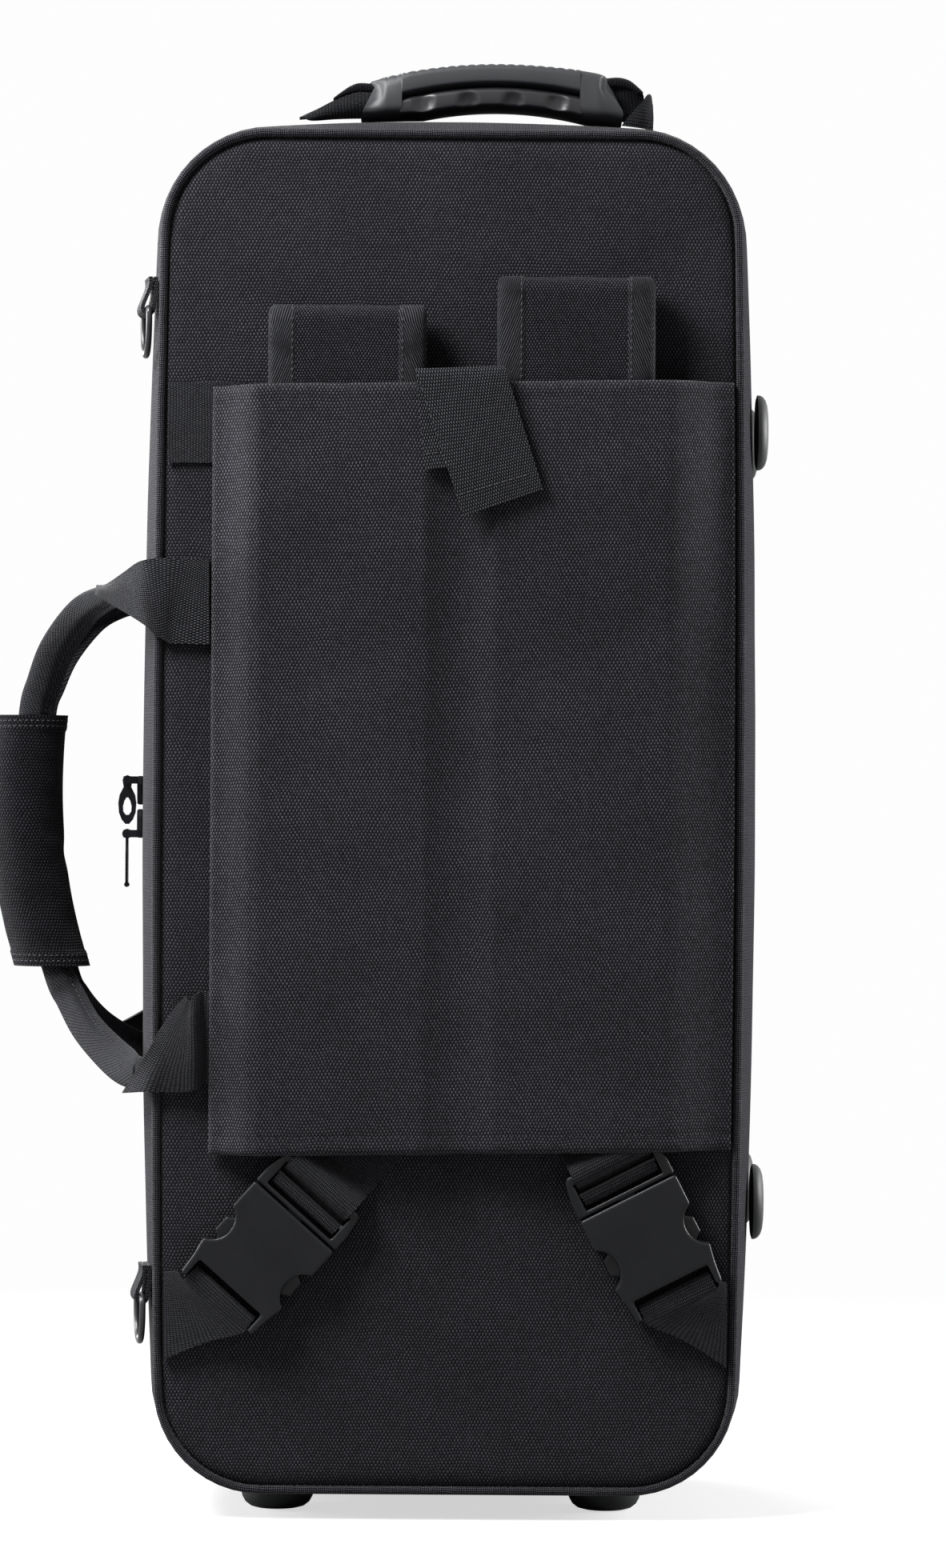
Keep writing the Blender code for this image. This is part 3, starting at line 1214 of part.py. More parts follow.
def buckles():
    sides = (
        ("left", BUCKLE_LEFT_FOOT, BUCKLE_LEFT_LEAN, -1, CORNER_LEFT_LOW, CORNER_LEFT_HIGH),
        ("right", BUCKLE_RIGHT_FOOT, BUCKLE_RIGHT_LEAN, 1, CORNER_RIGHT_LOW, CORNER_RIGHT_HIGH),
    )
    for word, place, lean, side, low_z, high_z in sides:
        frame = buckle_frame(place, lean)
        buckle_body("buckle_body_" + word, frame)
        buckle_upper("buckle_frame_" + word, frame)
        strap_webbing("strap_webbing_" + word, frame)
        corner_webbing("corner_webbing_" + word, frame, side, low_z, high_z)
        root_u, root_v = prong_pivot()
        for end, sign in (("outer", -side), ("inner", side)):
            body = "prong_%s_%s" % (word, end)
            add_body(body, "root", frame @ Vector((root_u, sign * root_v, BUCKLE_HEIGHT / 2)))
            prong("buckle_prong_%s_%s" % (word, end), body, frame, sign)


# D-rings on the zip side


def ring_frame(z):
    """Origin on the gusset; first axis outward, second along the depth, third up."""
    near = side_out(z, BACK_DEPTH, RING_DEPTH - RING_LOOP_WIDTH / 2)
    far = side_out(z, BACK_DEPTH, RING_DEPTH + RING_LOOP_WIDTH / 2)
    along = Vector((near - far, RING_LOOP_WIDTH, 0)).normalized()
    out = Vector((-along.y, along.x, 0))
    frame = Matrix((out, along, Vector((0, 0, 1)))).transposed().to_4x4()
    origin = Vector((-side_out(z, BACK_DEPTH, RING_DEPTH), PANEL_FACE + RING_DEPTH, z))
    return Matrix.Translation(origin) @ frame


def d_ring(word, z):
    frame = ring_frame(z)
    body = "d_ring_" + word
    add_body(body, "root", frame @ Vector((RING_OUT, 0, 0)))
    half = RING_LOOP_THICKNESS / 2
    turn = RING_ROOM + half
    rows = (
        (half + 3 * GAP, RING_LOOP_LENGTH),
        (half + 2 * GAP, RING_LOOP_LENGTH / 2),
        (RING_OUT - turn - GAP, turn * 1.3),
        (RING_OUT - turn, 0),
        (RING_OUT - turn * 0.7, -turn * 0.7),
        (RING_OUT, -turn),
        (RING_OUT + turn * 0.7, -turn * 0.7),
        (RING_OUT + turn, 0),
        (RING_OUT + turn * 0.8, turn),
        (3 * half + 5 * GAP, RING_LOOP_LENGTH * 0.7),
        (3 * half + 5 * GAP, RING_LOOP_LENGTH),
    )
    path = [frame @ Vector((out, 0, up)) for out, up in rows]
    across = [frame.to_3x3() @ Vector((0, RING_LOOP_WIDTH / 2, 0))] * len(path)
    loop = band(path, across, RING_LOOP_THICKNESS)
    piece("ring_loop_" + word, "root", loop, webbing_look)

    points = []
    straight = RING_HALF_WIDTH - RING_BEND
    for sign in (1, -1):
        for k in range(3):
            angle = pi / 2 - pi / 2 * k / 2
            if sign < 0:
                angle = pi / 2 - angle
            side = sign * (straight + RING_BEND * cos(angle))
            points.append(Vector((RING_OUT, side, RING_BEND * (sin(angle) - 1))))
        if sign > 0:
            fall = RING_DROP - RING_BEND
            for k in range(RING_STEPS + 1):
                angle = pi * k / RING_STEPS
                low = -RING_BEND - fall * sin(angle) ** 0.8 if 0 < k < RING_STEPS else -RING_BEND
                points.append(Vector((RING_OUT, RING_HALF_WIDTH * cos(angle), low)))
    outline = bpy.data.curves.new("d_ring_" + word, "CURVE")
    outline.dimensions = "3D"
    spline = outline.splines.new("POLY")
    kept = []
    for point in points:
        if not kept or (point - kept[-1]).length > GAP:
            kept.append(point)
    spline.points.add(len(kept) - 1)
    for target, point in zip(spline.points, kept):
        target.co = (*(frame @ point - pivots[body]), 1)
    spline.use_cyclic_u = True
    outline.bevel_depth = RING_WIRE
    outline.bevel_resolution = 2
    wire = bpy.data.objects.new("d_ring_" + word, outline)
    wire.data.materials.append(ring_look)
    wire.parent = bodies[body]
    parts.objects.link(wire)


# Zip sliders


def slider(name, body, parent, surface, z, pin_sign):
    """A slider on the outside of the teeth, with two posts and a pin for its pull."""
    x, y = surface
    pin = Vector((x - SLIDER_HEIGHT - SLIDER_PIN_HEIGHT, y, z + pin_sign * SLIDER_PIN_SHIFT))
    add_body(body, parent, (x, y, z))
    half = SLIDER_WIDTH / 2
    length = SLIDER_LENGTH / 2
    outline = [
        Vector((x, y + half * share_y, z + pin_sign * length * share_z))
        for share_y, share_z in SLIDER_OUTLINE_SHARES
    ]
    made = piece(name, body, extruded(outline, Vector((-SLIDER_HEIGHT, 0, 0))), metal_look)
    bevel(made, SLIDER_POST / 2, 1)
    for word, sign in (("near", -1), ("far", 1)):
        inner = y + sign * SLIDER_POST_GAP / 2
        outer = inner + sign * SLIDER_POST
        low = (pin.x - 2 * SLIDER_PIN_RADIUS, min(inner, outer), pin.z - 2 * SLIDER_PIN_RADIUS)
        high = (x - SLIDER_HEIGHT / 2, max(inner, outer), pin.z + 2 * SLIDER_PIN_RADIUS)
        boolean(made, cutter("%s_post_%s" % (name, word), body, block(low, high)), "UNION")
    reach = Vector((0, SLIDER_POST_GAP / 2 + SLIDER_POST / 2, 0))
    bar = rod(pin - reach, pin + reach, SLIDER_PIN_RADIUS, 8)
    boolean(made, cutter(name + "_pin", body, bar), "UNION")
    return pin


def leaf_pull(name, body, parent, pin):
    """A leaf-shaped pull with an eye on the slider's pin and a long hole."""
    add_body(body, parent, pin)
    rim = PULL_EYE_RADIUS + PULL_EYE_RIM
    outline = []
    for k in range(5):
        angle = pi - pi * k / 4
        outline.append((rim * cos(angle), rim * sin(angle)))
    half = [(LEAF_WIDTH / 2 * wide, -LEAF_LENGTH * down) for down, wide in LEAF_OUTLINE_SHARES]
    outline += half + [(-x, z) for x, z in reversed(half)]
    start = -LEAF_THICKNESS / 2
    points = [pin + Vector((x, start, z)) for x, z in outline]
    made = piece(name, body, extruded(points, Vector((0, LEAF_THICKNESS, 0))), metal_look)
    reach = Vector((0, LEAF_THICKNESS, 0))
    boolean(made, cutter(name + "_eye", body, rod(pin - reach, pin + reach, PULL_EYE_RADIUS)))
    hole = []
    for k in range(10):
        angle = 2 * pi * k / 10
        squeeze = 1 - 0.25 * sin(angle)
        hole.append(pin + Vector((
            LEAF_HOLE_WIDTH / 2 * cos(angle) * squeeze,
            -LEAF_THICKNESS,
            -LEAF_HOLE_ALONG + LEAF_HOLE_LENGTH / 2 * sin(angle),
        )))
    drop = extruded(hole, Vector((0, 2 * LEAF_THICKNESS, 0)))
    boolean(made, cutter(name + "_hole", body, drop))


def bar_pull(name, body, parent, pin):
    """A narrow plate with a rolled eye on the slider's pin, ending in a bead."""
    add_body(body, parent, pin)
    reach = Vector((0, SLIDER_POST_GAP / 2 - GAP, 0))
    rim = PULL_EYE_RADIUS + PULL_EYE_RIM
    made = piece(name, body, rod(pin - reach, pin + reach, rim, 10), metal_look)
    run = BAR_PULL_LENGTH - rim
    half = [
        (BAR_PULL_WIDTH / 2 * wide, -rim * 0.8 - run * down) for down, wide in BAR_PULL_OUTLINE_SHARES
    ]
    outline = half + [(-y, z) for y, z in reversed(half)]
    points = [pin + Vector((-BAR_PULL_THICKNESS / 2, y, z)) for y, z in outline]
    strip = extruded(points, Vector((BAR_PULL_THICKNESS, 0, 0)))
    boolean(made, cutter(name + "_strip", body, strip), "UNION")
    end = pin - Vector((0, 0, BAR_PULL_LENGTH * 0.97))
    bead_reach = Vector((0, BAR_PULL_WIDTH / 3, 0))
    bead = rod(end - bead_reach, end + bead_reach, BAR_PULL_THICKNESS, 8)
    boolean(made, cutter(name + "_bead", body, bead), "UNION")
    long_reach = reach * 1.5
    boolean(made, cutter(name + "_eye", body, rod(pin - long_reach, pin + long_reach, PULL_EYE_RADIUS)))


def sliders():
    x = -(side_out(MIDDLE_Z, BACK_DEPTH, BACK_DEPTH - ZIP_TAPE_WIDTH) + ZIP_TEETH_HEIGHT + GAP)
    upper_pin = slider("zip_slider_upper", "slider_upper", "root", (x, 0), SLIDER_UPPER_Z, 1)
    leaf_pull("zip_pull_upper", "pull_upper", "slider_upper", upper_pin)
    lower_pin = slider("zip_slider_lower", "slider_lower", "root", (x, 0), SLIDER_LOWER_Z, -1)
    bar_pull("zip_pull_lower", "pull_lower", "slider_lower", lower_pin)
    pocket_x = -(POCKET_WIDTH / 2 + ZIP_TEETH_HEIGHT + GAP)
    place = (pocket_x, LID_DEPTH + POCKET_ZIP_DEPTH)
    pocket_pin = slider("pocket_slider", "slider_pocket", "lid", place, POCKET_SLIDER_Z, 1)
    leaf_pull("pocket_pull", "pull_pocket", "slider_pocket", pocket_pin)


# Pocket on the lid


def pocket_ring(offset, y):
    half = POCKET_WIDTH / 2 - POCKET_RADIUS
    low = POCKET_BOTTOM + POCKET_RADIUS
    high = POCKET_TOP - POCKET_RADIUS
    corners = ((half, high, 0), (-half, high, pi / 2), (-half, low, pi), (half, low, 3 * pi / 2))
    found = []
    for x, z, start in corners:
        for k in range(POCKET_STEPS + 1):
            angle = start + pi / 2 * k / POCKET_STEPS
            radius = POCKET_RADIUS + offset
            found.append(Vector((x + radius * cos(angle), y, z + radius * sin(angle))))
    return found


def pocket():
    base = LID_DEPTH + GAP
    seam = LID_DEPTH + POCKET_ZIP_DEPTH
    teeth_start = seam - PARTING - ZIP_TEETH_WIDTH
    outer = (
        (0, base), (0, teeth_start), (ZIP_TEETH_HEIGHT, teeth_start), (ZIP_TEETH_HEIGHT, seam - PARTING),
        (-POCKET_WALL, seam - PARTING), (-POCKET_WALL, base),
    )
    piece("pocket_gusset", "lid", loft([pocket_ring(o, y) for o, y in outer], cyclic=True), cover_look)
    front = LID_DEPTH + POCKET_DEPTH
    teeth_end = seam + PARTING + ZIP_TEETH_WIDTH
    rows = (
        (-POCKET_WALL, front - POCKET_WALL), (-POCKET_WALL, seam + PARTING),
        (ZIP_TEETH_HEIGHT, seam + PARTING), (ZIP_TEETH_HEIGHT, teeth_end), (0, teeth_end),
        (0, front - POCKET_ROUND), (-POCKET_ROUND * 0.3, front - POCKET_ROUND * 0.3),
        (-POCKET_ROUND, front),
    )
    add_body("pocket", "lid", (0, seam, POCKET_BOTTOM - ZIP_TEETH_HEIGHT))
    piece("pocket_front", "pocket", loft([pocket_ring(o, y) for o, y in rows]), cover_look)


# The whole case

add_body("root", None, (0, 0, 0))
add_body("lid", "root", (side_out(MIDDLE_Z, BACK_DEPTH, BACK_DEPTH - ZIP_TAPE_WIDTH), 0, 0))
flap_axis = PANEL_FACE - FLAP_SEAM_LIFT - FLAP_THICKNESS
add_body("flap", "root", (seam_x(MIDDLE_Z) - FLAP_HINGE_INSET, flap_axis, 0))
handle_axis = -(PANEL_WIDTH / 2 + SEAM_OUT + GAP)
handle_lift = PIPING_PROUD + WEBBING_THICKNESS / 2 + 2 * GAP
add_body("handle_back", "root", (handle_axis, -BACK_DEPTH - handle_lift, 0))
add_body("handle_lid", "lid", (handle_axis, LID_DEPTH + handle_lift, 0))
add_body("top_handle", "root", top_handle_place())

half_case("back", "back", "root", -1, BACK_DEPTH)
half_case("lid", "lid", "lid", 1, LID_DEPTH)
inserts()
feet()
band_end = seam_x(ANCHOR_BAND_Z) - CORNER_END_SHORT
anchor_band = flat_band(ANCHOR_BAND_RIGHT, -band_end, ANCHOR_BAND_Z, 0)
piece("strap_anchor_band", "root", anchor_band, webbing_look)
shoulder_strap("shoulder_strap_left", STRAP_LEFT_X, STRAP_LEFT_TOP)
shoulder_strap("shoulder_strap_right", STRAP_RIGHT_X, STRAP_RIGHT_TOP)
strap_cover()
pull_tab()
handle_anchor("handle_anchor_upper", HANDLE_TOP_Z)
handle_anchor("handle_anchor_lower", HANDLE_BOTTOM_Z)
carry_handle("carry_handle_back", "handle_back", -1, BACK_DEPTH)
carry_handle("carry_handle_lid", "handle_lid", 1, LID_DEPTH)
grip_wrap("grip_wrap_back", "handle_back", -1, BACK_DEPTH)
grip_wrap("grip_wrap_lid", "handle_lid", 1, LID_DEPTH)
top_handle()
buckles()
d_ring("upper", RING_UPPER_Z)
d_ring("lower", RING_LOWER_Z)
sliders()
pocket()
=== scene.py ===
from math import cos, exp, hypot, pi, radians, sin, sqrt

import bmesh
import bpy
from mathutils import Matrix, Vector, noise


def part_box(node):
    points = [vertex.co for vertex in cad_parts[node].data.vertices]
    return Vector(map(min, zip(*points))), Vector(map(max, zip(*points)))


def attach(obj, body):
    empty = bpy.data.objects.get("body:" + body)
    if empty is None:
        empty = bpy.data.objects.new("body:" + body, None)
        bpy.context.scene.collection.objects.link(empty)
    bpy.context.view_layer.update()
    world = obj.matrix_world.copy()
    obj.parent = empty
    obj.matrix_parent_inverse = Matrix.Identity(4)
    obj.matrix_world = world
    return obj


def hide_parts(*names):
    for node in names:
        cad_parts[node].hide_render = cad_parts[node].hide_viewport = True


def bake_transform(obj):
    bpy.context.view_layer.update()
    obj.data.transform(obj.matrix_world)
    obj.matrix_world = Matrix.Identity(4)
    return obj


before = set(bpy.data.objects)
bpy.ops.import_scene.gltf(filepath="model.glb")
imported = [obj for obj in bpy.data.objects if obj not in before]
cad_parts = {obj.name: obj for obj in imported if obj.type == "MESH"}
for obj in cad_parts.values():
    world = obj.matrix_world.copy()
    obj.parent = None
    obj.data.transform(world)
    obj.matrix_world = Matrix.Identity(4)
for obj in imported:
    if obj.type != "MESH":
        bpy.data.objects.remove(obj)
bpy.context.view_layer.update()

mm = 0.001
gap = 0.3 * mm  # between solids that touch

caseShape = {
    "cornerRadius": 46 * mm, "sideBow": 2.3 * mm,
    "footRoom": 11.5 * mm,  # from the floor to the seam
    "bulge": 7.0 * mm,  # of the sides between piping and zip
    "crown": 0.5, "topExtra": 0.33, "bottomShare": 0.1,  # more or less of the bulge
    "pipingRadius": 2.5 * mm, "cordRadius": 1.95 * mm, "cordIn": 1.0 * mm, "cordSides": 14,
    "tapeWidth": 8 * mm, "clothThickness": 1.6 * mm, "panelThickness": 1.5 * mm,
    "edgeRoll": 1.1 * mm, "edgeRollWidth": 9 * mm,  # how the panel rolls back at its seam
    "valley": 1.5 * mm, "valleyWidth": 2.6 * mm,  # the groove where the panel meets its piping
    "cornerSteps": 12, "sideSteps": 44, "topSteps": 18,
}

# where the case stands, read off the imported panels
panelLow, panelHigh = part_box("back_panel")
backFace = panelLow.y
backDepth, lidDepth = -backFace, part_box("lid_panel")[1].y
midX = (panelLow.x + panelHigh.x) / 2
seamBottom, seamTop = panelLow.z - gap, panelHigh.z + gap
baseZ = seamBottom - caseShape["footRoom"]
midZ = (seamBottom + seamTop) / 2
halfWidth = (panelHigh.x - panelLow.x) / 2 + gap - caseShape["sideBow"]
straightX = halfWidth - caseShape["cornerRadius"]
straightZ = (seamTop - seamBottom) / 2 - caseShape["cornerRadius"]
halves = (("back", "back_half", -1, backDepth), ("lid", "lid", 1, lidDepth))


def at(x, y, z):  # x from the middle of the case, z from the floor
    return Vector((midX + x, y, baseZ + z))


def mix(a, b, t):
    return a + (b - a) * t


def ease(t):
    t = min(max(t, 0.0), 1.0)
    return t * t * (3 - 2 * t)


def wave(point, size, seed=0.0):  # smooth noise, about -1 to 1
    return noise.noise(Vector(point) / size + Vector((seed, 2.7 * seed, 0.9 * seed)))


def signedPower(value, power):
    return abs(value) ** power * (1 if value > 0 else -1)


def circle(middle, across, up, radius, count):
    angles = [2 * pi * k / count for k in range(count)]
    return [middle + across * radius * cos(a) + up * radius * sin(a) for a in angles]


def squarish(count, powerU, powerV):  # places on a circle of 1, pushed toward a square
    angles = [2 * pi * k / count for k in range(count)]
    return [(signedPower(cos(a), powerU), signedPower(sin(a), powerV)) for a in angles]


# looks: node helpers
def addNode(tree, kind, inputs=None, **settings):
    made = tree.nodes.new("ShaderNode" + kind)
    for key, value in settings.items():
        setattr(made, key, value)
    for key, value in (inputs or {}).items():
        if isinstance(value, bpy.types.NodeSocket):
            tree.links.new(value, made.inputs[key])
        else:
            made.inputs[key].default_value = value
    return made


def maths(tree, operation, *values, clamp=False):
    inputs = dict(enumerate(values))
    return addNode(tree, "Math", inputs, operation=operation, use_clamp=clamp).outputs[0]


def vectorMaths(tree, operation, first, second):
    inputs = {0: first, 3 if operation == "SCALE" else 1: second}
    return addNode(tree, "VectorMath", inputs, operation=operation).outputs[0]


def remap(tree, value, low, high, newLow=0.0, newHigh=1.0, smooth=False):
    inputs = {0: value, 1: low, 2: high, 3: newLow, 4: newHigh}
    way = "SMOOTHSTEP" if smooth else "LINEAR"
    return addNode(tree, "MapRange", inputs, interpolation_type=way).outputs[0]


def spread(tree, value, low, high, size, middle=1.0):  # from middle - size to middle + size
    return remap(tree, value, low, high, middle - size, middle + size)


def noiseAt(tree, place, scale, detail, output=0):
    inputs = {"Vector": place, "Scale": scale, "Detail": detail}
    return addNode(tree, "TexNoise", inputs).outputs[output]


def turnAbout(tree, place, angle):
    inputs = {"Vector": place, "Angle": angle}
    return addNode(tree, "VectorRotate", inputs, rotation_type="Z_AXIS").outputs[0]


def blendColour(tree, share, dark, light):
    inputs = {0: share, 6: (*dark, 1), 7: (*light, 1)}
    return addNode(tree, "Mix", inputs, data_type="RGBA").outputs[2]


def startLook(name, roughness, specular, sheen=0.0):
    look = bpy.data.materials.new(name)
    look.use_nodes = True
    shader = look.node_tree.nodes["Principled BSDF"]
    for key, value in (("Roughness", roughness), ("Specular IOR Level", specular),
                       ("Sheen Weight", sheen), ("Sheen Roughness", 0.45)):
        shader.inputs[key].default_value = value
    return look, look.node_tree, shader


def addRelief(tree, shader, height, depth, rough):
    bump = addNode(tree, "Bump", {"Height": height, "Distance": depth, "Strength": 1.0})
    tree.links.new(bump.outputs[0], shader.inputs["Normal"])
    tree.links.new(rough, shader.inputs["Roughness"])


weave = {  # what every cloth has unless its own values differ; sizes are noise scales per metre
    "turn": 0.0, "groove": False, "darkEnd": -0.25, "lightEnd": 0.75, "specular": 0.03,
    "wobble": 0.0022, "wobbleSize": 70.0, "streak": 0.25, "streakSize": 520.0, "streakTurn": 0.9,
    "fade": 0.12, "fadeSize": 22.0, "fuzz": 0.25, "fuzzSize": 2600.0, "threadRound": 0.6,
    "grooveRound": 0.5, "low": 0.55, "roughSpread": 0.08,
}


def wovenLook(name, cloth, **changes):
    own = {**weave, **cloth, **changes}
    look, tree, shader = startLook(name, own["roughness"], own["specular"], own["sheen"])

    def times(a, b):
        return maths(tree, "MULTIPLY", a, b)

    def rounded(value, power):
        return maths(tree, "POWER", maths(tree, "ABSOLUTE", value), power)

    place = addNode(tree, "UVMap", uv_map="cloth").outputs[0]
    bend = noiseAt(tree, place, own["wobbleSize"], 2.0, "Color")  # threads run a little crooked
    bend = vectorMaths(tree, "SUBTRACT", bend, (0.5, 0.5, 0.5))
    bent = vectorMaths(tree, "ADD", place, vectorMaths(tree, "SCALE", bend, own["wobble"]))
    if own["turn"]:
        bent = turnAbout(tree, bent, own["turn"])
    across, along = addNode(tree, "SeparateXYZ", {0: bent}).outputs[:2]
    u = times(across, 1 / own["cellAcross"])
    v = times(along, 1 / own["cellAlong"])
    sinU = maths(tree, "SINE", times(u, pi))
    sinV = maths(tree, "SINE", times(v, pi))
    longV = times(maths(tree, "SIGN", sinV), rounded(sinV, own["threadRound"]))
    product = times(sinU, longV)
    over = remap(tree, product, own["darkEnd"], own["lightEnd"], smooth=True)
    height = times(rounded(product, own["threadRound"]),
                   remap(tree, product, -0.1, 0.1, own["low"], 1.0))
    if own["groove"]:
        valley = rounded(sinV, own["grooveRound"])
        over, height = times(over, valley), times(height, valley)
    cell = addNode(tree, "CombineXYZ", {0: maths(tree, "FLOOR", u), 1: maths(tree, "FLOOR", v)})
    perCell = addNode(tree, "TexWhiteNoise", {0: cell.outputs[0]}, noise_dimensions="2D")
    over = times(over, spread(tree, perCell.outputs[0], 0, 1, own["slub"]))
    stretched = turnAbout(tree, place, own["streakTurn"])
    stretched = vectorMaths(tree, "MULTIPLY", stretched, (1.0, 0.3, 1.0))
    streak = noiseAt(tree, stretched, own["streakSize"], 2.0)
    over = times(over, spread(tree, streak, 0.32, 0.68, own["streak"]))
    thread = blendColour(tree, over, own["dark"], own["light"])
    tint = spread(tree, noiseAt(tree, place, own["fadeSize"], 4.0), 0.3, 0.7, own["fade"])
    tree.links.new(vectorMaths(tree, "SCALE", thread, tint), shader.inputs["Base Color"])
    fuzz = noiseAt(tree, place, own["fuzzSize"], 1.0)
    relief = maths(tree, "ADD", height, times(fuzz, own["fuzz"]))
    rough = spread(tree, fuzz, 0, 1, own["roughSpread"], own["roughness"])
    addRelief(tree, shader, relief, own["relief"], rough)
    return look


moulded = {"grain": 1600.0, "grainDepth": 0.00004, "wear": 1.5, "specular": 0.5, "sheen": 0.0,
           "patchSize": 45.0, "roughSpread": 0.06}


def plainLook(name, colour, roughness, **changes):  # fine grain, patches of shine, lighter edges: wear, and on the buckles a painted highlight
    own = {**moulded, **changes}
    look, tree, shader = startLook(name, roughness, own["specular"], own["sheen"])
    place = addNode(tree, "TexCoord").outputs["Object"]
    grain = noiseAt(tree, place, own["grain"], 3.0)
    patch = noiseAt(tree, place, own["patchSize"], 3.0)
    # pointy edges are lightened: real wear on most parts, a painted highlight of the bevels on the
    # buckles
    wornAndHighlit = remap(tree, addNode(tree, "NewGeometry").outputs["Pointiness"], 0.51, 0.6)
    wornAndHighlit = maths(tree, "MULTIPLY", wornAndHighlit, patch, clamp=True)
    lighter = tuple(min(c * own["wear"] + 0.004, 1) for c in colour)
    tree.links.new(blendColour(tree, wornAndHighlit, colour, lighter), shader.inputs["Base Color"])
    rough = spread(tree, patch, 0.3, 0.7, own["roughSpread"], roughness)
    addRelief(tree, shader, grain, own["grainDepth"], rough)
    return look


coverCloth = {  # coarse plain weave, charcoal
    "dark": (0.008, 0.008, 0.0095), "light": (0.064, 0.063, 0.074), "groove": True,
    "cellAcross": 0.806 * mm, "cellAlong": 1.475 * mm, "relief": 0.40 * mm,
    "roughness": 0.85, "sheen": 0.06, "slub": 0.25, "darkEnd": -0.4, "lightEnd": 0.80,
}
webbingCloth = {  # ribs along the webbing, each of short bricks
    "dark": (0.003, 0.0032, 0.004), "light": (0.084, 0.085, 0.095), "groove": True,
    "cellAcross": 0.42 * mm, "cellAlong": 1.35 * mm, "relief": 0.40 * mm,
    "roughness": 0.62, "sheen": 0.05, "slub": 0.2, "wobble": 0.0012, "streak": 0.1,
}
bindingCloth = {  # steep twill on the bound edges of the straps
    "dark": (0.003, 0.003, 0.004), "light": (0.062, 0.063, 0.070), "turn": radians(22),
    "cellAcross": 0.52 * mm, "cellAlong": 40 * mm, "relief": 0.28 * mm,
    "roughness": 0.6, "sheen": 0.05, "slub": 0.2,
}
strapCloth = {  # finer and flatter than the cover
    "dark": (0.003, 0.003, 0.004), "light": (0.056, 0.055, 0.064), "groove": True,
    "cellAcross": 0.70 * mm, "cellAlong": 1.28 * mm, "relief": 0.30 * mm,
    "roughness": 0.75, "sheen": 0.05, "slub": 0.25,
}
pipingCloth = {  # cut on the bias
    "dark": (0.004, 0.004, 0.005), "light": (0.075, 0.074, 0.086), "turn": radians(45),
    "cellAcross": 0.72 * mm, "cellAlong": 0.72 * mm, "relief": 0.30 * mm,
    "roughness": 0.78, "sheen": 0.12, "slub": 0.2,
}
tapeCloth = {
    "dark": (0.006, 0.006, 0.007), "light": (0.028, 0.028, 0.031),
    "cellAcross": 0.45 * mm, "cellAlong": 0.45 * mm, "relief": 0.15 * mm,
    "roughness": 0.7, "sheen": 0.1, "slub": 0.1,
}
coverLook = wovenLook("coverWeave", coverCloth)
sleeveLook = wovenLook(
    "sleeveWeave", coverCloth, dark=(0.003, 0.003, 0.004), light=(0.030, 0.030, 0.036))
tubeLook = wovenLook("tubeWebbing", webbingCloth, turn=radians(62))
thickWebbingLook = wovenLook(
    "thickWebbing", webbingCloth, cellAlong=1.6 * mm, light=(0.036, 0.037, 0.042))
loopLook = wovenLook("loopWebbing", webbingCloth, light=(0.018, 0.018, 0.021))
webbingLook = wovenLook("ribbedWebbing", webbingCloth)
tabLook = wovenLook("tabWebbing", webbingCloth, cellAcross=0.62 * mm, cellAlong=1.5 * mm,
                    light=(0.095, 0.097, 0.107))
bindingLook = wovenLook("twillBinding", bindingCloth)
strapLook = wovenLook("strapCloth", strapCloth)
flapLook = wovenLook("flapWeave", coverCloth, light=(0.080, 0.079, 0.092))
pipingLook = wovenLook("pipingWeave", pipingCloth)
tapeLook = wovenLook("tapeWeave", tapeCloth)
threadLook = plainLook("sewingThread", (0.017, 0.017, 0.020), 0.6, grain=3000.0)
gripThreadLook = plainLook("gripThread", (0.026, 0.026, 0.030), 0.6, grain=3000.0)
# the strong edge lightening here is a painted highlight on the buckle's bevels
buckleLook = plainLook("buckleNylon", (0.004, 0.0044, 0.0055), 0.36, grain=1100.0,
                       grainDepth=0.00006, wear=4.0, specular=0.28)
ringLook = plainLook("ringNylon", (0.016, 0.016, 0.018), 0.32)
insertLook = plainLook("insertRubber", (0.007, 0.007, 0.009), 0.38, grain=1300.0)
footLook = plainLook("footRubber", (0.010, 0.011, 0.012), 0.55, grain=900.0, grainDepth=0.00005)
gripLook = plainLook("gripRubber", (0.019, 0.020, 0.023), 0.5, grain=1300.0, grainDepth=0.00005)
sliderLook = plainLook("paintedSlider", (0.002, 0.002, 0.003), 0.3, wear=3.0, specular=0.12)
# the black nylon coil is coloured a lighter grey-blue: a painted highlight of the backlit teeth
coilLook = plainLook("zipCoil", (0.045, 0.045, 0.055), 0.35)
foamLook = plainLook(
    "foamBoard", (0.05, 0.05, 0.055), 0.9, grain=400.0, grainDepth=0.0002, wear=1.2)
plushLook = plainLook(
    "plush", (0.018, 0.018, 0.021), 0.95, grain=700.0, grainDepth=0.0006, wear=1.3, sheen=0.6)


# mesh helpers
def finishMesh(name, points, faces, corners=None, smooth=40, recalc=True):
    mesh = bpy.data.meshes.new(name)
    mesh.from_pydata([tuple(p) for p in points], [], faces)
    if corners is not None:
        layer = mesh.uv_layers.new(name="cloth")
        layer.data.foreach_set("uv", [value for corner in corners for value in corner])
    if recalc:
        edit = bmesh.new()
        edit.from_mesh(mesh)
        bmesh.ops.recalc_face_normals(edit, faces=edit.faces)
        edit.to_mesh(mesh)
        edit.free()
    mesh.shade_smooth()
    mesh.set_sharp_from_angle(angle=radians(smooth))
    return mesh


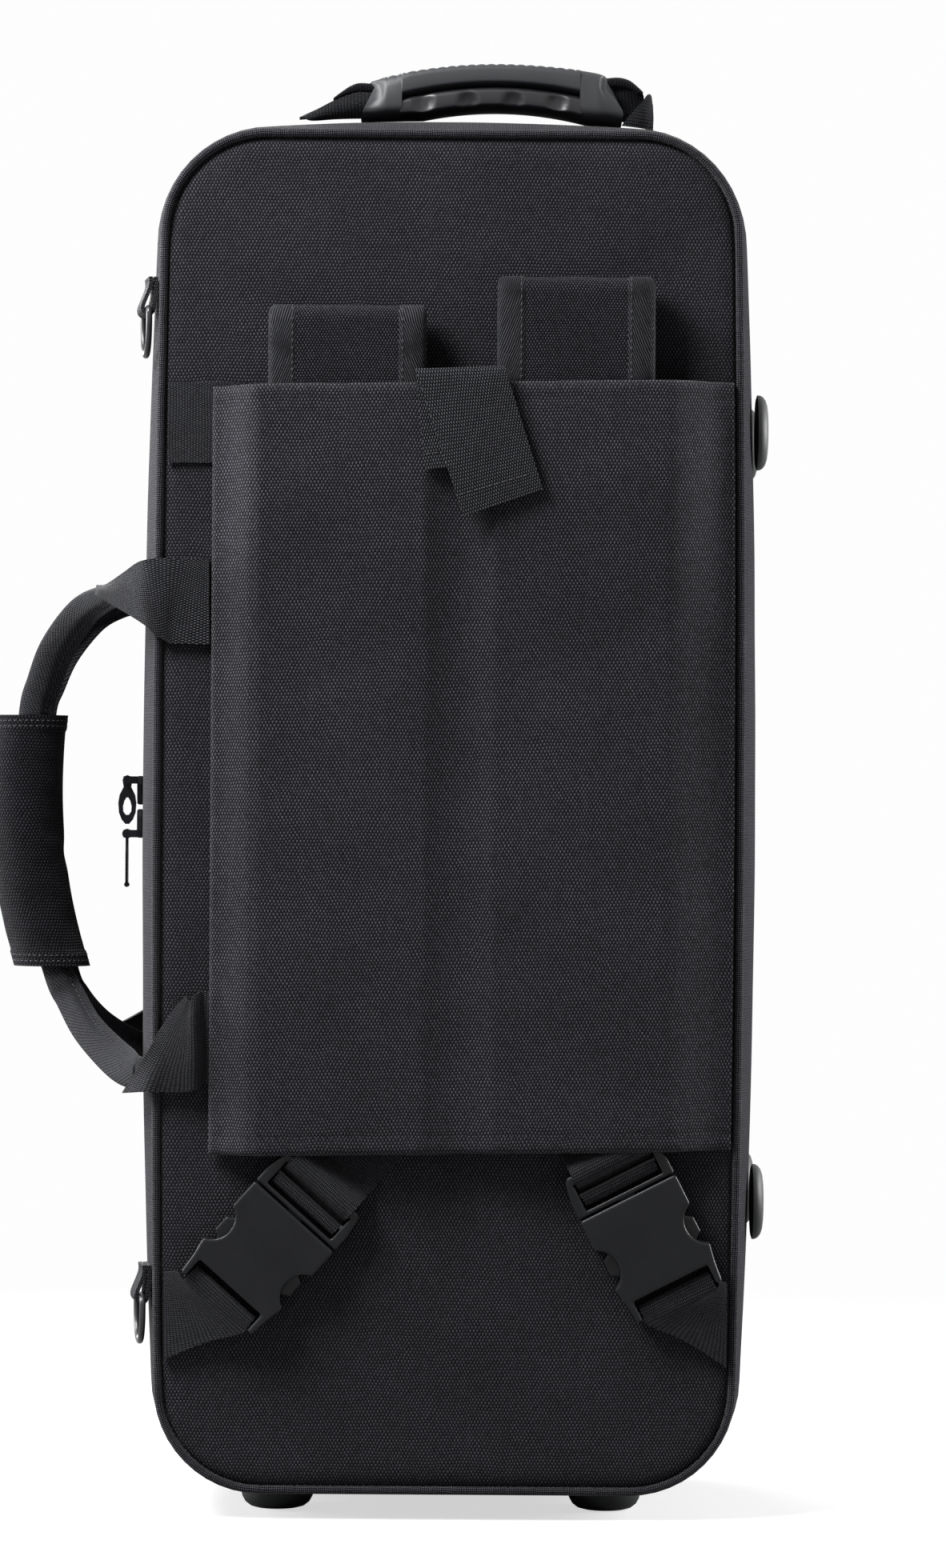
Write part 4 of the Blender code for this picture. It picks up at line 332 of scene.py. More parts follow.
def gridMesh(name, rows, wrapAcross=False, wrapAlong=False, caps=False, smooth=40,
             place=None, recalc=True, levelRows=False):
    count, last = len(rows[0]), len(rows)
    acrossCount, alongCount = count + wrapAcross, last + wrapAlong
    us, vs = [0.0], [0.0]  # the cloth's own metres, for the UV map
    picks = rows[:: max(1, last // 6)]
    for j in range(1, acrossCount):
        step = sum((row[j % count] - row[j - 1]).length for row in picks) / len(picks)
        us.append(us[-1] + step)
    columns = (0,) if levelRows else range(0, count, max(1, count // 6))
    for i in range(1, alongCount):
        step = sum((rows[i % last][j] - rows[i - 1][j]).length for j in columns) / len(columns)
        vs.append(vs[-1] + step)
    points = [point for row in rows for point in row]
    faces = []
    corners = []
    for i in range(alongCount - 1):
        for j in range(acrossCount - 1):
            near, far, right = i * count, ((i + 1) % last) * count, (j + 1) % count
            faces.append((near + j, near + right, far + right, far + j))
            if place is None:
                corners += [(us[j], vs[i]), (us[j + 1], vs[i]),
                            (us[j + 1], vs[i + 1]), (us[j], vs[i + 1])]
            else:
                corners += [place(points[k]) for k in faces[-1]]
    if caps:
        for start, step in ((0, -1), ((last - 1) * count, 1)):
            face = list(range(start, start + count))
            middle = sum((points[k] for k in face), Vector()) / count
            faces.append(tuple(face[::step]))
            corners += [((points[k] - middle).x, (points[k] - middle).z) for k in faces[-1]]
    return finishMesh(name, points, faces, corners, smooth, recalc)


def addPiece(name, mesh, look, body, stands=()):
    obj = bpy.data.objects.new(name, mesh)
    bpy.context.scene.collection.objects.link(obj)
    mesh.materials.append(look)
    if isinstance(body, tuple):
        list(body)
        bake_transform(obj)
    else:
        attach(obj, body)
    if stands:
        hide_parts(*stands)
    return obj


def addTube(name, rows, look, body, stands=(), smooth=60, loop=False,
            levelRows=False):  # rows close across; along they close too or end in caps
    mesh = gridMesh(name, rows, wrapAcross=True, wrapAlong=loop, caps=not loop, smooth=smooth,
                    levelRows=levelRows)
    return addPiece(name, mesh, look, body, stands)


def faceOut(mesh, way):  # turns a whole open sheet so that its faces look along way(their middle)
    if sum(p.normal.dot(way(p.center)) * p.area for p in mesh.polygons) < 0:
        mesh.flip_normals()
    return mesh


def thicken(obj, thickness):
    step = obj.modifiers.new("thickness", "SOLIDIFY")
    step.thickness = thickness
    step.offset = -1


def addRemesh(obj, voxel):
    step = obj.modifiers.new("soft", "REMESH")
    step.mode = "VOXEL"
    step.voxel_size = voxel
    step.use_smooth_shade = True


def softCopy(name, node, look, body, shape):  # the solid with rounded edges
    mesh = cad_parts[node].data.copy()
    mesh.materials.clear()
    obj = addPiece(name, mesh, look, body, [node])
    addRemesh(obj, shape["voxel"])
    soften = obj.modifiers.new("round", "SMOOTH")
    soften.factor = 0.5
    soften.iterations = shape["smooth"]
    return obj


def headings(points, closed=False):
    last = len(points)
    found = []
    for i in range(last):
        before = points[(i - 1) % last] if closed else points[max(i - 1, 0)]
        after = points[(i + 1) % last] if closed else points[min(i + 1, last - 1)]
        found.append((after - before).normalized())
    return found


def smoothRoute(rows, steps):  # a smooth curve through rows of numbers
    found = []
    for i in range(len(rows) - 1):
        picks = rows[max(i - 1, 0)], rows[i], rows[i + 1], rows[min(i + 2, len(rows) - 1)]
        for k in range(steps):
            t = k / steps
            found.append([
                b + t / 2 * (c - a + t * (2 * a - 5 * b + 4 * c - d + t * (3 * (b - c) + d - a)))
                for a, b, c, d in zip(*picks)
            ])
    found.append(list(rows[-1]))
    return found


def smoothSpots(rows, steps):  # the same through rows of several places, each made one list
    return smoothRoute([[value for spot in row for value in spot] for row in rows], steps)


def inThrees(flat):
    return [flat[i:i + 3] for i in range(0, len(flat), 3)]


stitchShape = {
    "length": 2.5 * mm, "gap": 0.9 * mm, "thread": 0.24 * mm, "sides": 5,
    "sunk": ((0, 1.6), (0.12, 0.1), (0.5, -0.5), (0.88, 0.1), (1, 1.6)),  # share, radii deep
}


def alongRun(run, lengths, distance):
    for i in range(1, len(lengths)):
        if lengths[i] >= distance or i == len(lengths) - 1:
            span = max(lengths[i] - lengths[i - 1], 1e-9)
            t = min(max((distance - lengths[i - 1]) / span, 0), 1)
            (a, outA), (b, outB) = run[i - 1], run[i]
            return mix(a, b, t), mix(outA, outB, t).normalized()


def addStitches(name, runs, body, look=threadLook, **changes):
    own = {**stitchShape, **changes}
    sides, radius = own["sides"], own["thread"]
    pitch = own["length"] + own["gap"]
    points = []
    faces = []
    for run in runs:  # a run is pairs of a point on the cloth and its outward direction
        lengths = [0.0]
        for (a, _), (b, _) in zip(run, run[1:]):
            lengths.append(lengths[-1] + (b - a).length)
        for k in range(int(lengths[-1] / pitch)):
            rings = []
            for share, sunk in own["sunk"]:
                distance = k * pitch + own["gap"] / 2 + share * own["length"]
                spot, out = alongRun(run, lengths, distance)
                rings.append((spot - out * sunk * radius, out))
            heading = (rings[-1][0] - rings[0][0]).normalized()
            base = len(points)
            for spot, out in rings:
                points += circle(spot, heading.cross(out).normalized(), out, radius, sides)
            last = base + (len(rings) - 1) * sides
            for near in range(base, last, sides):
                for j in range(sides):
                    right = (j + 1) % sides
                    faces.append((near + j, near + right, near + sides + right, near + sides + j))
            faces.append(tuple(reversed(range(base, base + sides))))
            faces.append(tuple(range(last, last + sides)))
    addPiece(name, finishMesh(name, points, faces, smooth=60), look, body)


# outline of the case: x, z, normal x, normal z, share of the bulge
def seamPlaces():
    shape = caseShape
    radius, steps = shape["cornerRadius"], shape["cornerSteps"]
    found = []
    for side, count, signX, signZ, start in (
        ("right", shape["sideSteps"], 1, 1, 0), ("top", shape["topSteps"], -1, 1, pi / 2),
        ("left", shape["sideSteps"], -1, -1, pi), ("bottom", shape["topSteps"], 1, -1, 3 * pi / 2),
    ):
        for k in range(count + 1):
            t = -1 + 2 * k / count
            crown = 1 + shape["crown"] * (1 - t * t)
            wide = halfWidth + shape["sideBow"] * (1 - t * t)
            found.append({
                "right": (wide, midZ + t * straightZ, 1, 0, crown),
                "left": (-wide, midZ - t * straightZ, -1, 0, crown),
                "top": (-t * straightX, seamTop, 0, 1, crown + shape["topExtra"]),
                "bottom": (t * straightX, seamBottom, 0, -1, shape["bottomShare"]),
            }[side])
        for k in range(1, steps):
            angle = start + pi / 2 * k / steps
            nx, nz = cos(angle), sin(angle)
            down, up = max(0.0, -nz), max(0.0, nz)
            share = 1 - (1 - shape["bottomShare"]) * down * down + shape["topExtra"] * up * up
            x, z = signX * straightX + radius * nx, midZ + signZ * straightZ + radius * nz
            found.append((x, z, nx, nz, share))
    return found


places = seamPlaces()


def bulgeAt(depth, fromPanel):
    return caseShape["bulge"] * (1 - (1 - fromPanel / depth) ** 3)


def ringAt(offset, bulge, y, ripple=None):
    found = []
    for x, z, nx, nz, share in places:
        out = offset + bulge * share + (ripple(x, z) if ripple else 0)
        found.append(Vector((midX + x + nx * out, y, z + nz * out)))
    return found


def seamHalf(z):  # half the panel's width at a height
    t = (z - midZ) / straightZ
    if abs(t) <= 1:
        return halfWidth + caseShape["sideBow"] * (1 - t * t)
    past = (abs(z - midZ) - straightZ) / caseShape["cornerRadius"]
    return straightX + caseShape["cornerRadius"] * sqrt(max(0.0, 1 - past * past))


panelWide = seamHalf(midZ)


def seamDistance(x, z):  # inward from the panel's seam
    dx = abs(x) - straightX
    dz = abs(z - midZ) - straightZ
    if dx > 0 and dz > 0:
        return caseShape["cornerRadius"] - hypot(dx, dz)
    return min(panelWide - abs(x), seamTop - z, z - seamBottom)


# panels
panelShape = {
    "across": (0, .004, .010, .018, .03, .045, .065, .09, .13, .18, .25, .33, .42, .5),
    "up": (0.0002, .002, .005, .009, .014, .021, .030, .042, .056, .072, .09, .12, .16, .2, .25,
           .3, .35, .4, .45, .5),
    "soft": 0.12 * mm, "softSize": 0.05, "softFrom": 0.02,
}


def panelMesh(name, side, depth):
    shape = panelShape
    shares = [-1 + 2 * s for s in shape["across"]]
    shares += [1 - 2 * s for s in reversed(shape["across"][:-1])]
    rows = []
    for zShare in shape["up"] + tuple(1 - s for s in reversed(shape["up"][:-1])):
        z = seamBottom + zShare * (seamTop - seamBottom)
        row = []
        for share in shares:
            x = (seamHalf(z) - gap) * share
            distance = seamDistance(x, z)
            roll = caseShape["edgeRoll"] * (1 - ease(distance / caseShape["edgeRollWidth"]))
            roll += caseShape["valley"] * (1 - ease(distance / caseShape["valleyWidth"]))
            soft = shape["soft"] * wave((x, 0, z), shape["softSize"], 3)
            soft *= ease(distance / shape["softFrom"])
            row.append(Vector((midX + x, side * depth - side * (roll + abs(soft)), z)))
        rows.append(row)
    mesh = gridMesh(name, rows, place=lambda p: (p.x, p.z), recalc=False, smooth=70)
    return faceOut(mesh, lambda p: Vector((0, side, 0)))


def buildPanels():
    for prefix, body, side, depth in halves:
        mesh = panelMesh(prefix + "Panel", side, depth)
        panel = addPiece(prefix + "Panel", mesh, coverLook, body, [prefix + "_panel"])
        thicken(panel, caseShape["panelThickness"])


# sides, piping
sideShape = {
    "first": 4 * mm,  # from the panel
    "depths": (0, .02, .05, .09, .14, .2, .28, .36, .44, .52, .6, .68, .76, .84, .92, 1),
    "tuckIn": 1.2 * mm, "tuckDepth": 2.2 * mm,  # the turned-in row under the piping
    "pucker": 0.16 * mm, "puckerSize": 0.006, "puckerFade": 6 * mm,
    "slack": 0.5 * mm, "slackSize": 0.07, "slackFrom": 20 * mm, "slackTo": 10 * mm,
    "stitches": (2.2 * mm, 5.0 * mm), "stitchLift": 0.05 * mm,
}


def buildSides():
    shape = sideShape
    radius = caseShape["pipingRadius"]
    for prefix, body, side, depth in halves:
        first, last = shape["first"], depth - caseShape["tapeWidth"]
        rows = [ringAt(radius - shape["tuckIn"], 0, side * (depth - shape["tuckDepth"]))]
        for share in shape["depths"]:
            fromPanel = mix(first, last, share)

            def ripple(x, z):
                pucker = shape["pucker"] * exp(-(fromPanel - first) / shape["puckerFade"])
                slack = shape["slack"] * wave((x, fromPanel * 1.4, z), shape["slackSize"], 5 + side)
                slack *= ease((fromPanel - first) / shape["slackFrom"])
                slack *= ease((last - fromPanel) / shape["slackTo"])
                return pucker * wave((x, fromPanel, z), shape["puckerSize"], side) + slack
            bulge = bulgeAt(depth, fromPanel)
            rows.append(ringAt(radius, bulge, side * (depth - fromPanel), ripple))
        turned = [list(column) for column in zip(*rows)]
        mesh = gridMesh(prefix + "Side", turned, wrapAlong=True, recalc=False, smooth=70)
        faceOut(mesh, lambda p: Vector((p.x - midX, 0, p.z - midZ)))
        gusset = addPiece(prefix + "Side", mesh, coverLook, body, [prefix + "_gusset"])
        thicken(gusset, caseShape["clothThickness"])
        loop = sum((b - a).length for a, b in zip(rows[1], rows[1][1:] + rows[1][:1]))

        outs = [Vector((nx, 0, nz)) for _, _, nx, nz, _ in places]
        runs = []
        for inset in shape["stitches"]:
            fromPanel = last - inset
            bulge = bulgeAt(depth, fromPanel)
            line = ringAt(radius + shape["stitchLift"], bulge, side * (depth - fromPanel))
            runs.append(list(zip(line + line[:1], outs + outs[:1])))
        addStitches(prefix + "SideStitches", runs, body)

        deep = Vector((0, side, 0))
        cord = ringAt(radius, 0, side * (depth - caseShape["cordIn"]))
        rows = [circle(spot, out, deep, caseShape["cordRadius"], caseShape["cordSides"])
                for spot, out in zip(cord, outs)]
        addTube(prefix + "Piping", rows, pipingLook, body, [prefix + "_piping"],
                smooth=180, loop=True)


# zip and hinge tapes
zipShape = {
    "endShare": 0.8, "teethPitch": 1.3 * mm, "teethWidth": 2.2 * mm, "teethHeight": 0.9 * mm,
    "tapeThickness": 1.2 * mm, "parting": 0.15 * mm, "coilLift": 0.35 * mm,
    # across, up and half the length of each corner of a tooth, as shares
    "tooth": ((-1.0, 0.0, .34), (-.75, .5, .34), (.35, .75, .34),
              (1.0, .2, .30), (1.0, -.4, .30), (-.6, -.4, .34)),
}


def tapeRun(depth, side, offset, fromZip, onHinge):  # points and outward directions
    bulge = bulgeAt(depth, depth - caseShape["tapeWidth"])
    found = []
    for x, z, nx, nz, share in places:
        hinge = nx == 1 and abs(z - midZ) < zipShape["endShare"] * straightZ
        if hinge == onHinge:
            out = offset + bulge * share
            spot = Vector((midX + x + nx * out, side * fromZip, z + nz * out))
            found.append((spot, Vector((nx, 0, nz))))
    if not onHinge:  # starts and ends on the hinge side
        split = next(i for i, (p, n) in enumerate(found) if n.x == 1 and p.z > midZ)
        found = found[split:] + found[:split]
    return found


def resample(run, pitch):
    found = []
    carried = 0.0
    for (a, na), (b, nb) in zip(run, run[1:]):
        span = (b - a).length
        while carried <= span:
            t = carried / span
            found.append((mix(a, b, t), mix(na, nb, t).normalized()))
            carried += pitch
        carried -= span
    return found


def addCoil(name, run, way, body):
    line = resample(run, zipShape["teethPitch"])
    width, height, pitch = (zipShape[key] for key in ("teethWidth", "teethHeight", "teethPitch"))
    points = []
    faces = []
    for (spot, out), (after, _) in zip(line, line[1:]):
        along = (after - spot).normalized()
        base = len(points)
        for u, w, t in zipShape["tooth"]:
            for sign in (-1, 1):
                corner = spot - way * u * width / 2 + out * w * height
                points.append(corner + along * sign * t * pitch)
        for k in range(6):
            a, b = base + 2 * k, base + 2 * ((k + 1) % 6)
            faces.append((a, b, b + 1, a + 1))
        faces.append(tuple(base + 2 * k for k in range(6)))
        faces.append(tuple(base + 2 * k + 1 for k in reversed(range(6))))
    addPiece(name, finishMesh(name, points, faces, smooth=50), coilLook, body)


def buildZips():
    shape = zipShape
    radius = caseShape["pipingRadius"]
    stops = [(caseShape["tapeWidth"] - gap, 0), (5 * mm, .08 * mm), (shape["teethWidth"], .12 * mm),
             (shape["parting"], .1 * mm)]  # from the zip, lift
    stops += [(fromZip, lift - shape["tapeThickness"]) for fromZip, lift in reversed(stops)]
    for prefix, body, side, depth in halves:
        for onHinge, word, look in ((False, "zip", tapeLook), (True, "hinge", webbingLook)):
            runs = [tapeRun(depth, side, radius + o, d, onHinge) for d, o in stops]
            rows = [[spot for spot, _ in row] for row in zip(*runs)]
            addTube(prefix + word.title() + "Tape", rows, look, body,
                    ["%s_tape_%s" % (word, prefix)], smooth=50)
        run = tapeRun(depth, side, radius + shape["coilLift"], shape["teethWidth"] / 2, False)
        addCoil(prefix + "Coil", run, Vector((0, side, 0)), body)


# foam inserts, made soft from their solids
insertShape = {"voxel": 3.5 * mm, "smooth": 6}


def buildInserts():
    for node, body, name in (("base_insert", "back_half", "basePadding"),
                             ("lid_insert", "lid", "lidPadding")):
        obj = softCopy(name, node, plushLook, body, insertShape)


# webbing
webbing = {
    "width": 38 * mm, "thickness": 1.4 * mm, "edgeIn": 0.22 * 0.02, "count": 10,
    "dip": ((0, 0), (0.35, 0), (0.72, 0), (0.82, 0.35), (0.9, 0.75), (1, 1)),  # along, lift
}


def addWebbing(name, path, across, body, stands, steps, look=webbingLook, thickness=None):
    rows = smoothRoute([[*p, *a] for p, a in zip(path, across)], steps)
    path = [Vector(row[:3]) for row in rows]
    count = webbing["count"]
    flat = [(-1 + 2 * k / count) * (1 - webbing["edgeIn"]) for k in range(count + 1)]
    section = [(u, 1) for u in flat] + [(1, 0.5), (1, -0.5)]
    section += [(-u, -1) for u in flat] + [(-1, -0.5), (-1, 0.5)]
    rings = []
    for point, heading, row in zip(path, headings(path), rows):
        half = Vector(row[3:])  # half its width, as a vector
        up = heading.cross(half).normalized() * (thickness or webbing["thickness"]) / 2
        rings.append([point + half * u + up * v for u, v in section])
    addTube(name, rings, look, body, stands)


def flatBand(name, node, hidden=0.0):
    low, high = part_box(node)
    low.x += hidden
    thick = webbing["thickness"]
    lift = (high.y - low.y) - thick
    z = (low.z + high.z) / 2
    path = [Vector((mix(high.x, low.x, share), high.y - thick / 2 - lift * up, z))
            for share, up in webbing["dip"]]
    across = [Vector((0, 0, (high.z - low.z) / 2))] * len(path)
    addWebbing(name, path, across, "back_half", [node], 4)


# shoulder straps, folded over above the flap
strapShape = {
    "thickness": 8 * mm, "topWidth": 74 * mm, "endWidth": 60 * mm,
    "places": (("left", -48.5 * mm, 566 * mm), ("right", 58.5 * mm, 580 * mm)),
    "sewnZ": 500 * mm, "easeTop": 490 * mm, "easeBottom": 425 * mm, "endZ": 212 * mm,
    "binding": 13 * mm, "bindingThickness": 0.7 * mm, "webbing": 1.4 * mm,
    "edgeIn": 1.2 * mm, "sideIn": 0.6 * mm, "flat": 0.80, "swell": 0.12,
    "soft": 0.25 * mm, "softSize": 0.03, "stitchIn": 1.7 * mm, "stitchLift": 0.02 * mm,
}


def strapPath(x, top):
    shape = strapShape
    half = shape["thickness"] / 2
    rear = backFace - 3 * gap - shape["webbing"] - half
    front = rear - shape["thickness"] - 2 * gap
    low = backFace - 2 * gap - shape["webbing"] - half
    radius = (rear - front) / 2
    bend = top - half - radius
    path = [(rear, mix(shape["sewnZ"], bend, t)) for t in (0, 0.25, 0.5, 0.75)]
    for k in range(15):
        angle = pi * k / 14
        path.append(((rear + front) / 2 + radius * cos(angle), bend + radius * sin(angle)))
    path += [(front, mix(bend, shape["easeTop"], t)) for t in (0.33, 0.66)]
    for k in range(16):
        share = k / 15
        y = mix(front, low, ease(share))
        path.append((y, mix(shape["easeTop"], shape["easeBottom"], share)))
    path += [(low, mix(shape["easeBottom"], shape["endZ"], k / 16)) for k in range(1, 17)]
    return [at(x, y, z) for y, z in path]


def strapHalfWidth(point):
    shape = strapShape
    fall = shape["easeBottom"] - (point.z - baseZ)
    share = ease(fall / (shape["easeBottom"] - shape["endZ"]))
    return mix(shape["topWidth"], shape["endWidth"], share) / 2


def strapSection(point, side, wide):  # its padded outer face, across and up
    shape = strapShape
    section = []
    for k in range(19):
        u = -1 + 2 * k / 18
        height = shape["thickness"] / 2 * (shape["flat"] + shape["swell"] * (1 - u ** 4))
        soft = shape["soft"] * wave(point + side * u * wide, shape["softSize"])
        section.append((u * (wide - shape["edgeIn"]), height + soft))
    return section


def bindingSection(inner, wide):
    half, thin = strapShape["thickness"] / 2, strapShape["bindingThickness"]
    outer = [(inner, half * 0.90), (mix(inner, wide, 0.12), half), (mix(inner, wide, 0.5), half),
             (wide - 2.2 * mm, half * 0.97), (wide - 0.9 * mm, half * 0.74),
             (wide - 0.2 * mm, half * 0.38), (wide, 0)]
    outer += [(u, -v) for u, v in reversed(outer[:-1])]
    inset = []
    for u, v in outer:
        way = 0 if abs(v) <= 0.1 * mm else 1 if v > 0 else -1
        inset.append((max(u - thin * 0.8, inner - thin * 0.8), v - thin * way))
    return outer + inset[::-1]


def buildStraps():
    shape = strapShape
    half = shape["thickness"] / 2
    side = Vector((1, 0, 0))
    for word, x, top in shape["places"]:
        path = strapPath(x, top)
        bodyRows = []
        binding = {-1: [], 1: []}
        runs = {-1: [], 1: []}
        for point, way in zip(path, headings(path)):
            wide = strapHalfWidth(point)
            edge = wide - shape["sideIn"]
            inner = wide - shape["binding"]
            out = way.cross(side).normalized()
            section = strapSection(point, side, wide)
            ring = [point + side * u + out * v for u, v in section]
            ring += [point + side * edge + out * v * half for v in (0.4, 0, -0.4)]
            ring += [point + side * u - out * v for u, v in reversed(section)]
            ring += [point - side * edge + out * v * half for v in (-0.4, 0, 0.4)]
            bodyRows.append(ring)
            lift = out * (half + shape["stitchLift"])
            for sign in (-1, 1):
                binding[sign].append([point + side * sign * u + out * v
                                      for u, v in bindingSection(inner, wide)])
                runs[sign].append((point + side * sign * (inner + shape["stitchIn"]) + lift, out))
        obj = addTube(word + "Strap", bodyRows, strapLook, "back_half", ["shoulder_strap_" + word],
                      smooth=70, levelRows=True)
        for sign, end in ((-1, "Left"), (1, "Right")):
            addTube(word + "Strap" + end + "Binding", binding[sign], bindingLook, "back_half", ())
        addStitches(word + "StrapStitches", [runs[-1], runs[1]], "back_half")


# flap over the straps
flapShape = {
    "left": -111.8 * mm, "top": 529.6 * mm, "bottom": 168.5 * mm, "tilt": 3.8 * mm,
    "thickness": 2.2 * mm, "clothThickness": 2.0 * mm, "edgeLift": 3.4 * mm,
    "topLift": 20.4 * mm, "lowLift": 12.8 * mm, "seamLift": 0.6 * mm,
    "dip": 0.22, "fallMargin": 5 * mm, "easeStart": 0.1, "ease": 0.3,
    "columns": 150, "rows": 190, "roll": 1.3 * mm, "rollWidth": 2.2 * mm,
    "hemRows": (2.5 * mm, 8.3 * mm), "sideStitch": 20.6 * mm, "bottomStitch": 8.0 * mm,
    "crease": 0.60 * mm, "creaseWidth": 0.9 * mm, "calmEdge": 14 * mm,
    "folds": (0.9 * mm, 0.11), "wrinkles": (0.35 * mm, 0.035), "puckers": (0.25 * mm, 0.012),
}
flapWide = panelWide - flapShape["left"]
flapHigh = flapShape["top"] - flapShape["bottom"]


def flapLift(x, down):
    shape = flapShape
    half = strapShape["topWidth"] / 2
    leftX, rightX = (place[1] for place in strapShape["places"])
    rise = leftX - half
    fall = rightX + half + shape["fallMargin"]
    lower = ease((down - shape["easeStart"]) / shape["ease"])
    high = mix(shape["topLift"], shape["lowLift"], lower)
    if x < rise:
        share = (x - shape["left"]) / (rise - shape["left"])
        return mix(shape["edgeLift"], high, ease(share * 1.15))
    if x > fall:
        return mix(high, shape["seamLift"], ease((x - fall) / (panelWide - fall) * 1.06))
    share = (x - leftX - half) / (rightX - leftX - 2 * half)
    dip = sin(pi * share) if 0 < share < 1 else 0
    return high * (1 - shape["dip"] * dip)


def flapSurface(across, down):  # with its pressed seams, rolled edges and soft folds
    shape = flapShape
    z = mix(shape["top"], shape["bottom"], down) + shape["tilt"] * (across - 0.5)
    x = mix(shape["left"], seamHalf(baseZ + z) - 2 * gap, across)
    spot = at(x, backFace - flapLift(x, down) - shape["thickness"], z)
    left, top, bottom = across * flapWide, down * flapHigh, (1 - down) * flapHigh
    roll = sum(shape["roll"] * (1 - ease(distance / shape["rollWidth"]))
               for distance in (left, top, bottom))
    seams = [top - row for row in shape["hemRows"]]
    seams += [left - shape["sideStitch"], bottom - shape["bottomStitch"]]
    press = sum(shape["crease"] * exp(-(distance / shape["creaseWidth"]) ** 2)
                for distance in seams)
    edge = ease(min(left, top, bottom) / shape["calmEdge"]) * ease((1 - across) / 0.08)
    (fold, foldSize), (wrinkle, wrinkleSize), (pucker, puckerSize) = (
        shape[key] for key in ("folds", "wrinkles", "puckers"))
    soft = edge * (fold * wave(spot, foldSize, 1) + wrinkle * wave(spot, wrinkleSize, 2))
    soft += (pucker * wave((spot.x, 0, spot.z), puckerSize, 4) * (1 - edge)
             * ease((1 - across) / 0.08))
    spot.y += roll + press - soft
    return spot


def buildFlap():
    shape = flapShape
    rows = [[flapSurface(k / shape["columns"], i / shape["rows"])
             for k in range(shape["columns"] + 1)] for i in range(shape["rows"] + 1)]
    mesh = gridMesh("strapFlap", rows, recalc=False, smooth=70)
    out = Vector((0, -1, 0))
    faceOut(mesh, lambda p: out)
    flap = addPiece("strapFlap", mesh, flapLook, "flap", ["strap_cover"])
    thicken(flap, shape["clothThickness"])
    width, height = flapWide, flapHigh

    def level(distance, count=120):
        return [(flapSurface(mix(0.004, 0.985, k / count), distance / height), out)
                for k in range(count + 1)]

    def upright(distance, count=160):
        return [(flapSurface(distance / width, mix(0.01, 0.985, k / count)), out)
                for k in range(count + 1)]

    runs = [level(row) for row in shape["hemRows"]]
    runs += [level(height - shape["bottomStitch"]), upright(shape["sideStitch"])]
    addStitches("flapStitches", runs, "flap")


# pull tab, folded over at the flap's top hem
tabShape = {
    "foldLeft": (-16.4 * mm, 534.5 * mm), "foldRight": (25.1 * mm, 536 * mm),
    "endLeft": (6.2 * mm, 466.6 * mm), "endRight": (43.2 * mm, 479.4 * mm),
    "backLeft": (-11.9 * mm, 488 * mm), "backRight": (29 * mm, 493 * mm),
    "layerGap": 0.6 * mm, "stitchLift": 0.05 * mm,
}


def buildTab():
    shape = tabShape
    thick = webbing["thickness"]
    layer = thick + shape["layerGap"]

    def spot(left, right, share, out):
        low, high = (Vector((mix(a[0], b[0], share), 0, mix(a[1], b[1], share)))
                     for a, b in (left, right))
        middle = (low + high) / 2
        down = max((flapShape["top"] - middle.z) / flapHigh, 0)
        lift = max(flapLift(mix(low.x, high.x, t), down) for t in (0, 0.25, 0.5, 0.75, 1))
        y = backFace - lift - flapShape["thickness"] - gap - thick / 2 - out
        return at(middle.x, y, middle.z), (high - low) / 2

    foldLeft, foldRight = shape["foldLeft"], shape["foldRight"]
    rear = ((shape["backLeft"], foldLeft), (shape["backRight"], foldRight))
    front = ((foldLeft, shape["endLeft"]), (foldRight, shape["endRight"]))
    rows = [spot(*rear, share, 2 * gap) for share in (0, 0.2, 0.35, 0.55, 0.7, 0.85, 0.94)]
    rows.append(spot(*rear, 1, 2 * gap + layer / 2))
    rows += [spot(*front, share, 2 * gap + layer) for share in (0.06, 0.2, 0.35, 0.5, 0.7, 0.85, 1)]
    addWebbing("pullTab", *zip(*rows), "flap", ["pull_tab"], 4, look=tabLook)
    runs = []
    for run, share, layers in ((front, 0.86, 1), (rear, 0.16, 0)):
        out = 2 * gap + layers * layer + thick / 2 + shape["stitchLift"]
        middle, half = spot(*run, share, out)
        runs.append([(middle + half * (k / 20 - 0.95), Vector((0, -1, 0))) for k in range(39)])
    addStitches("pullTabStitches", runs, "flap", gripThreadLook)


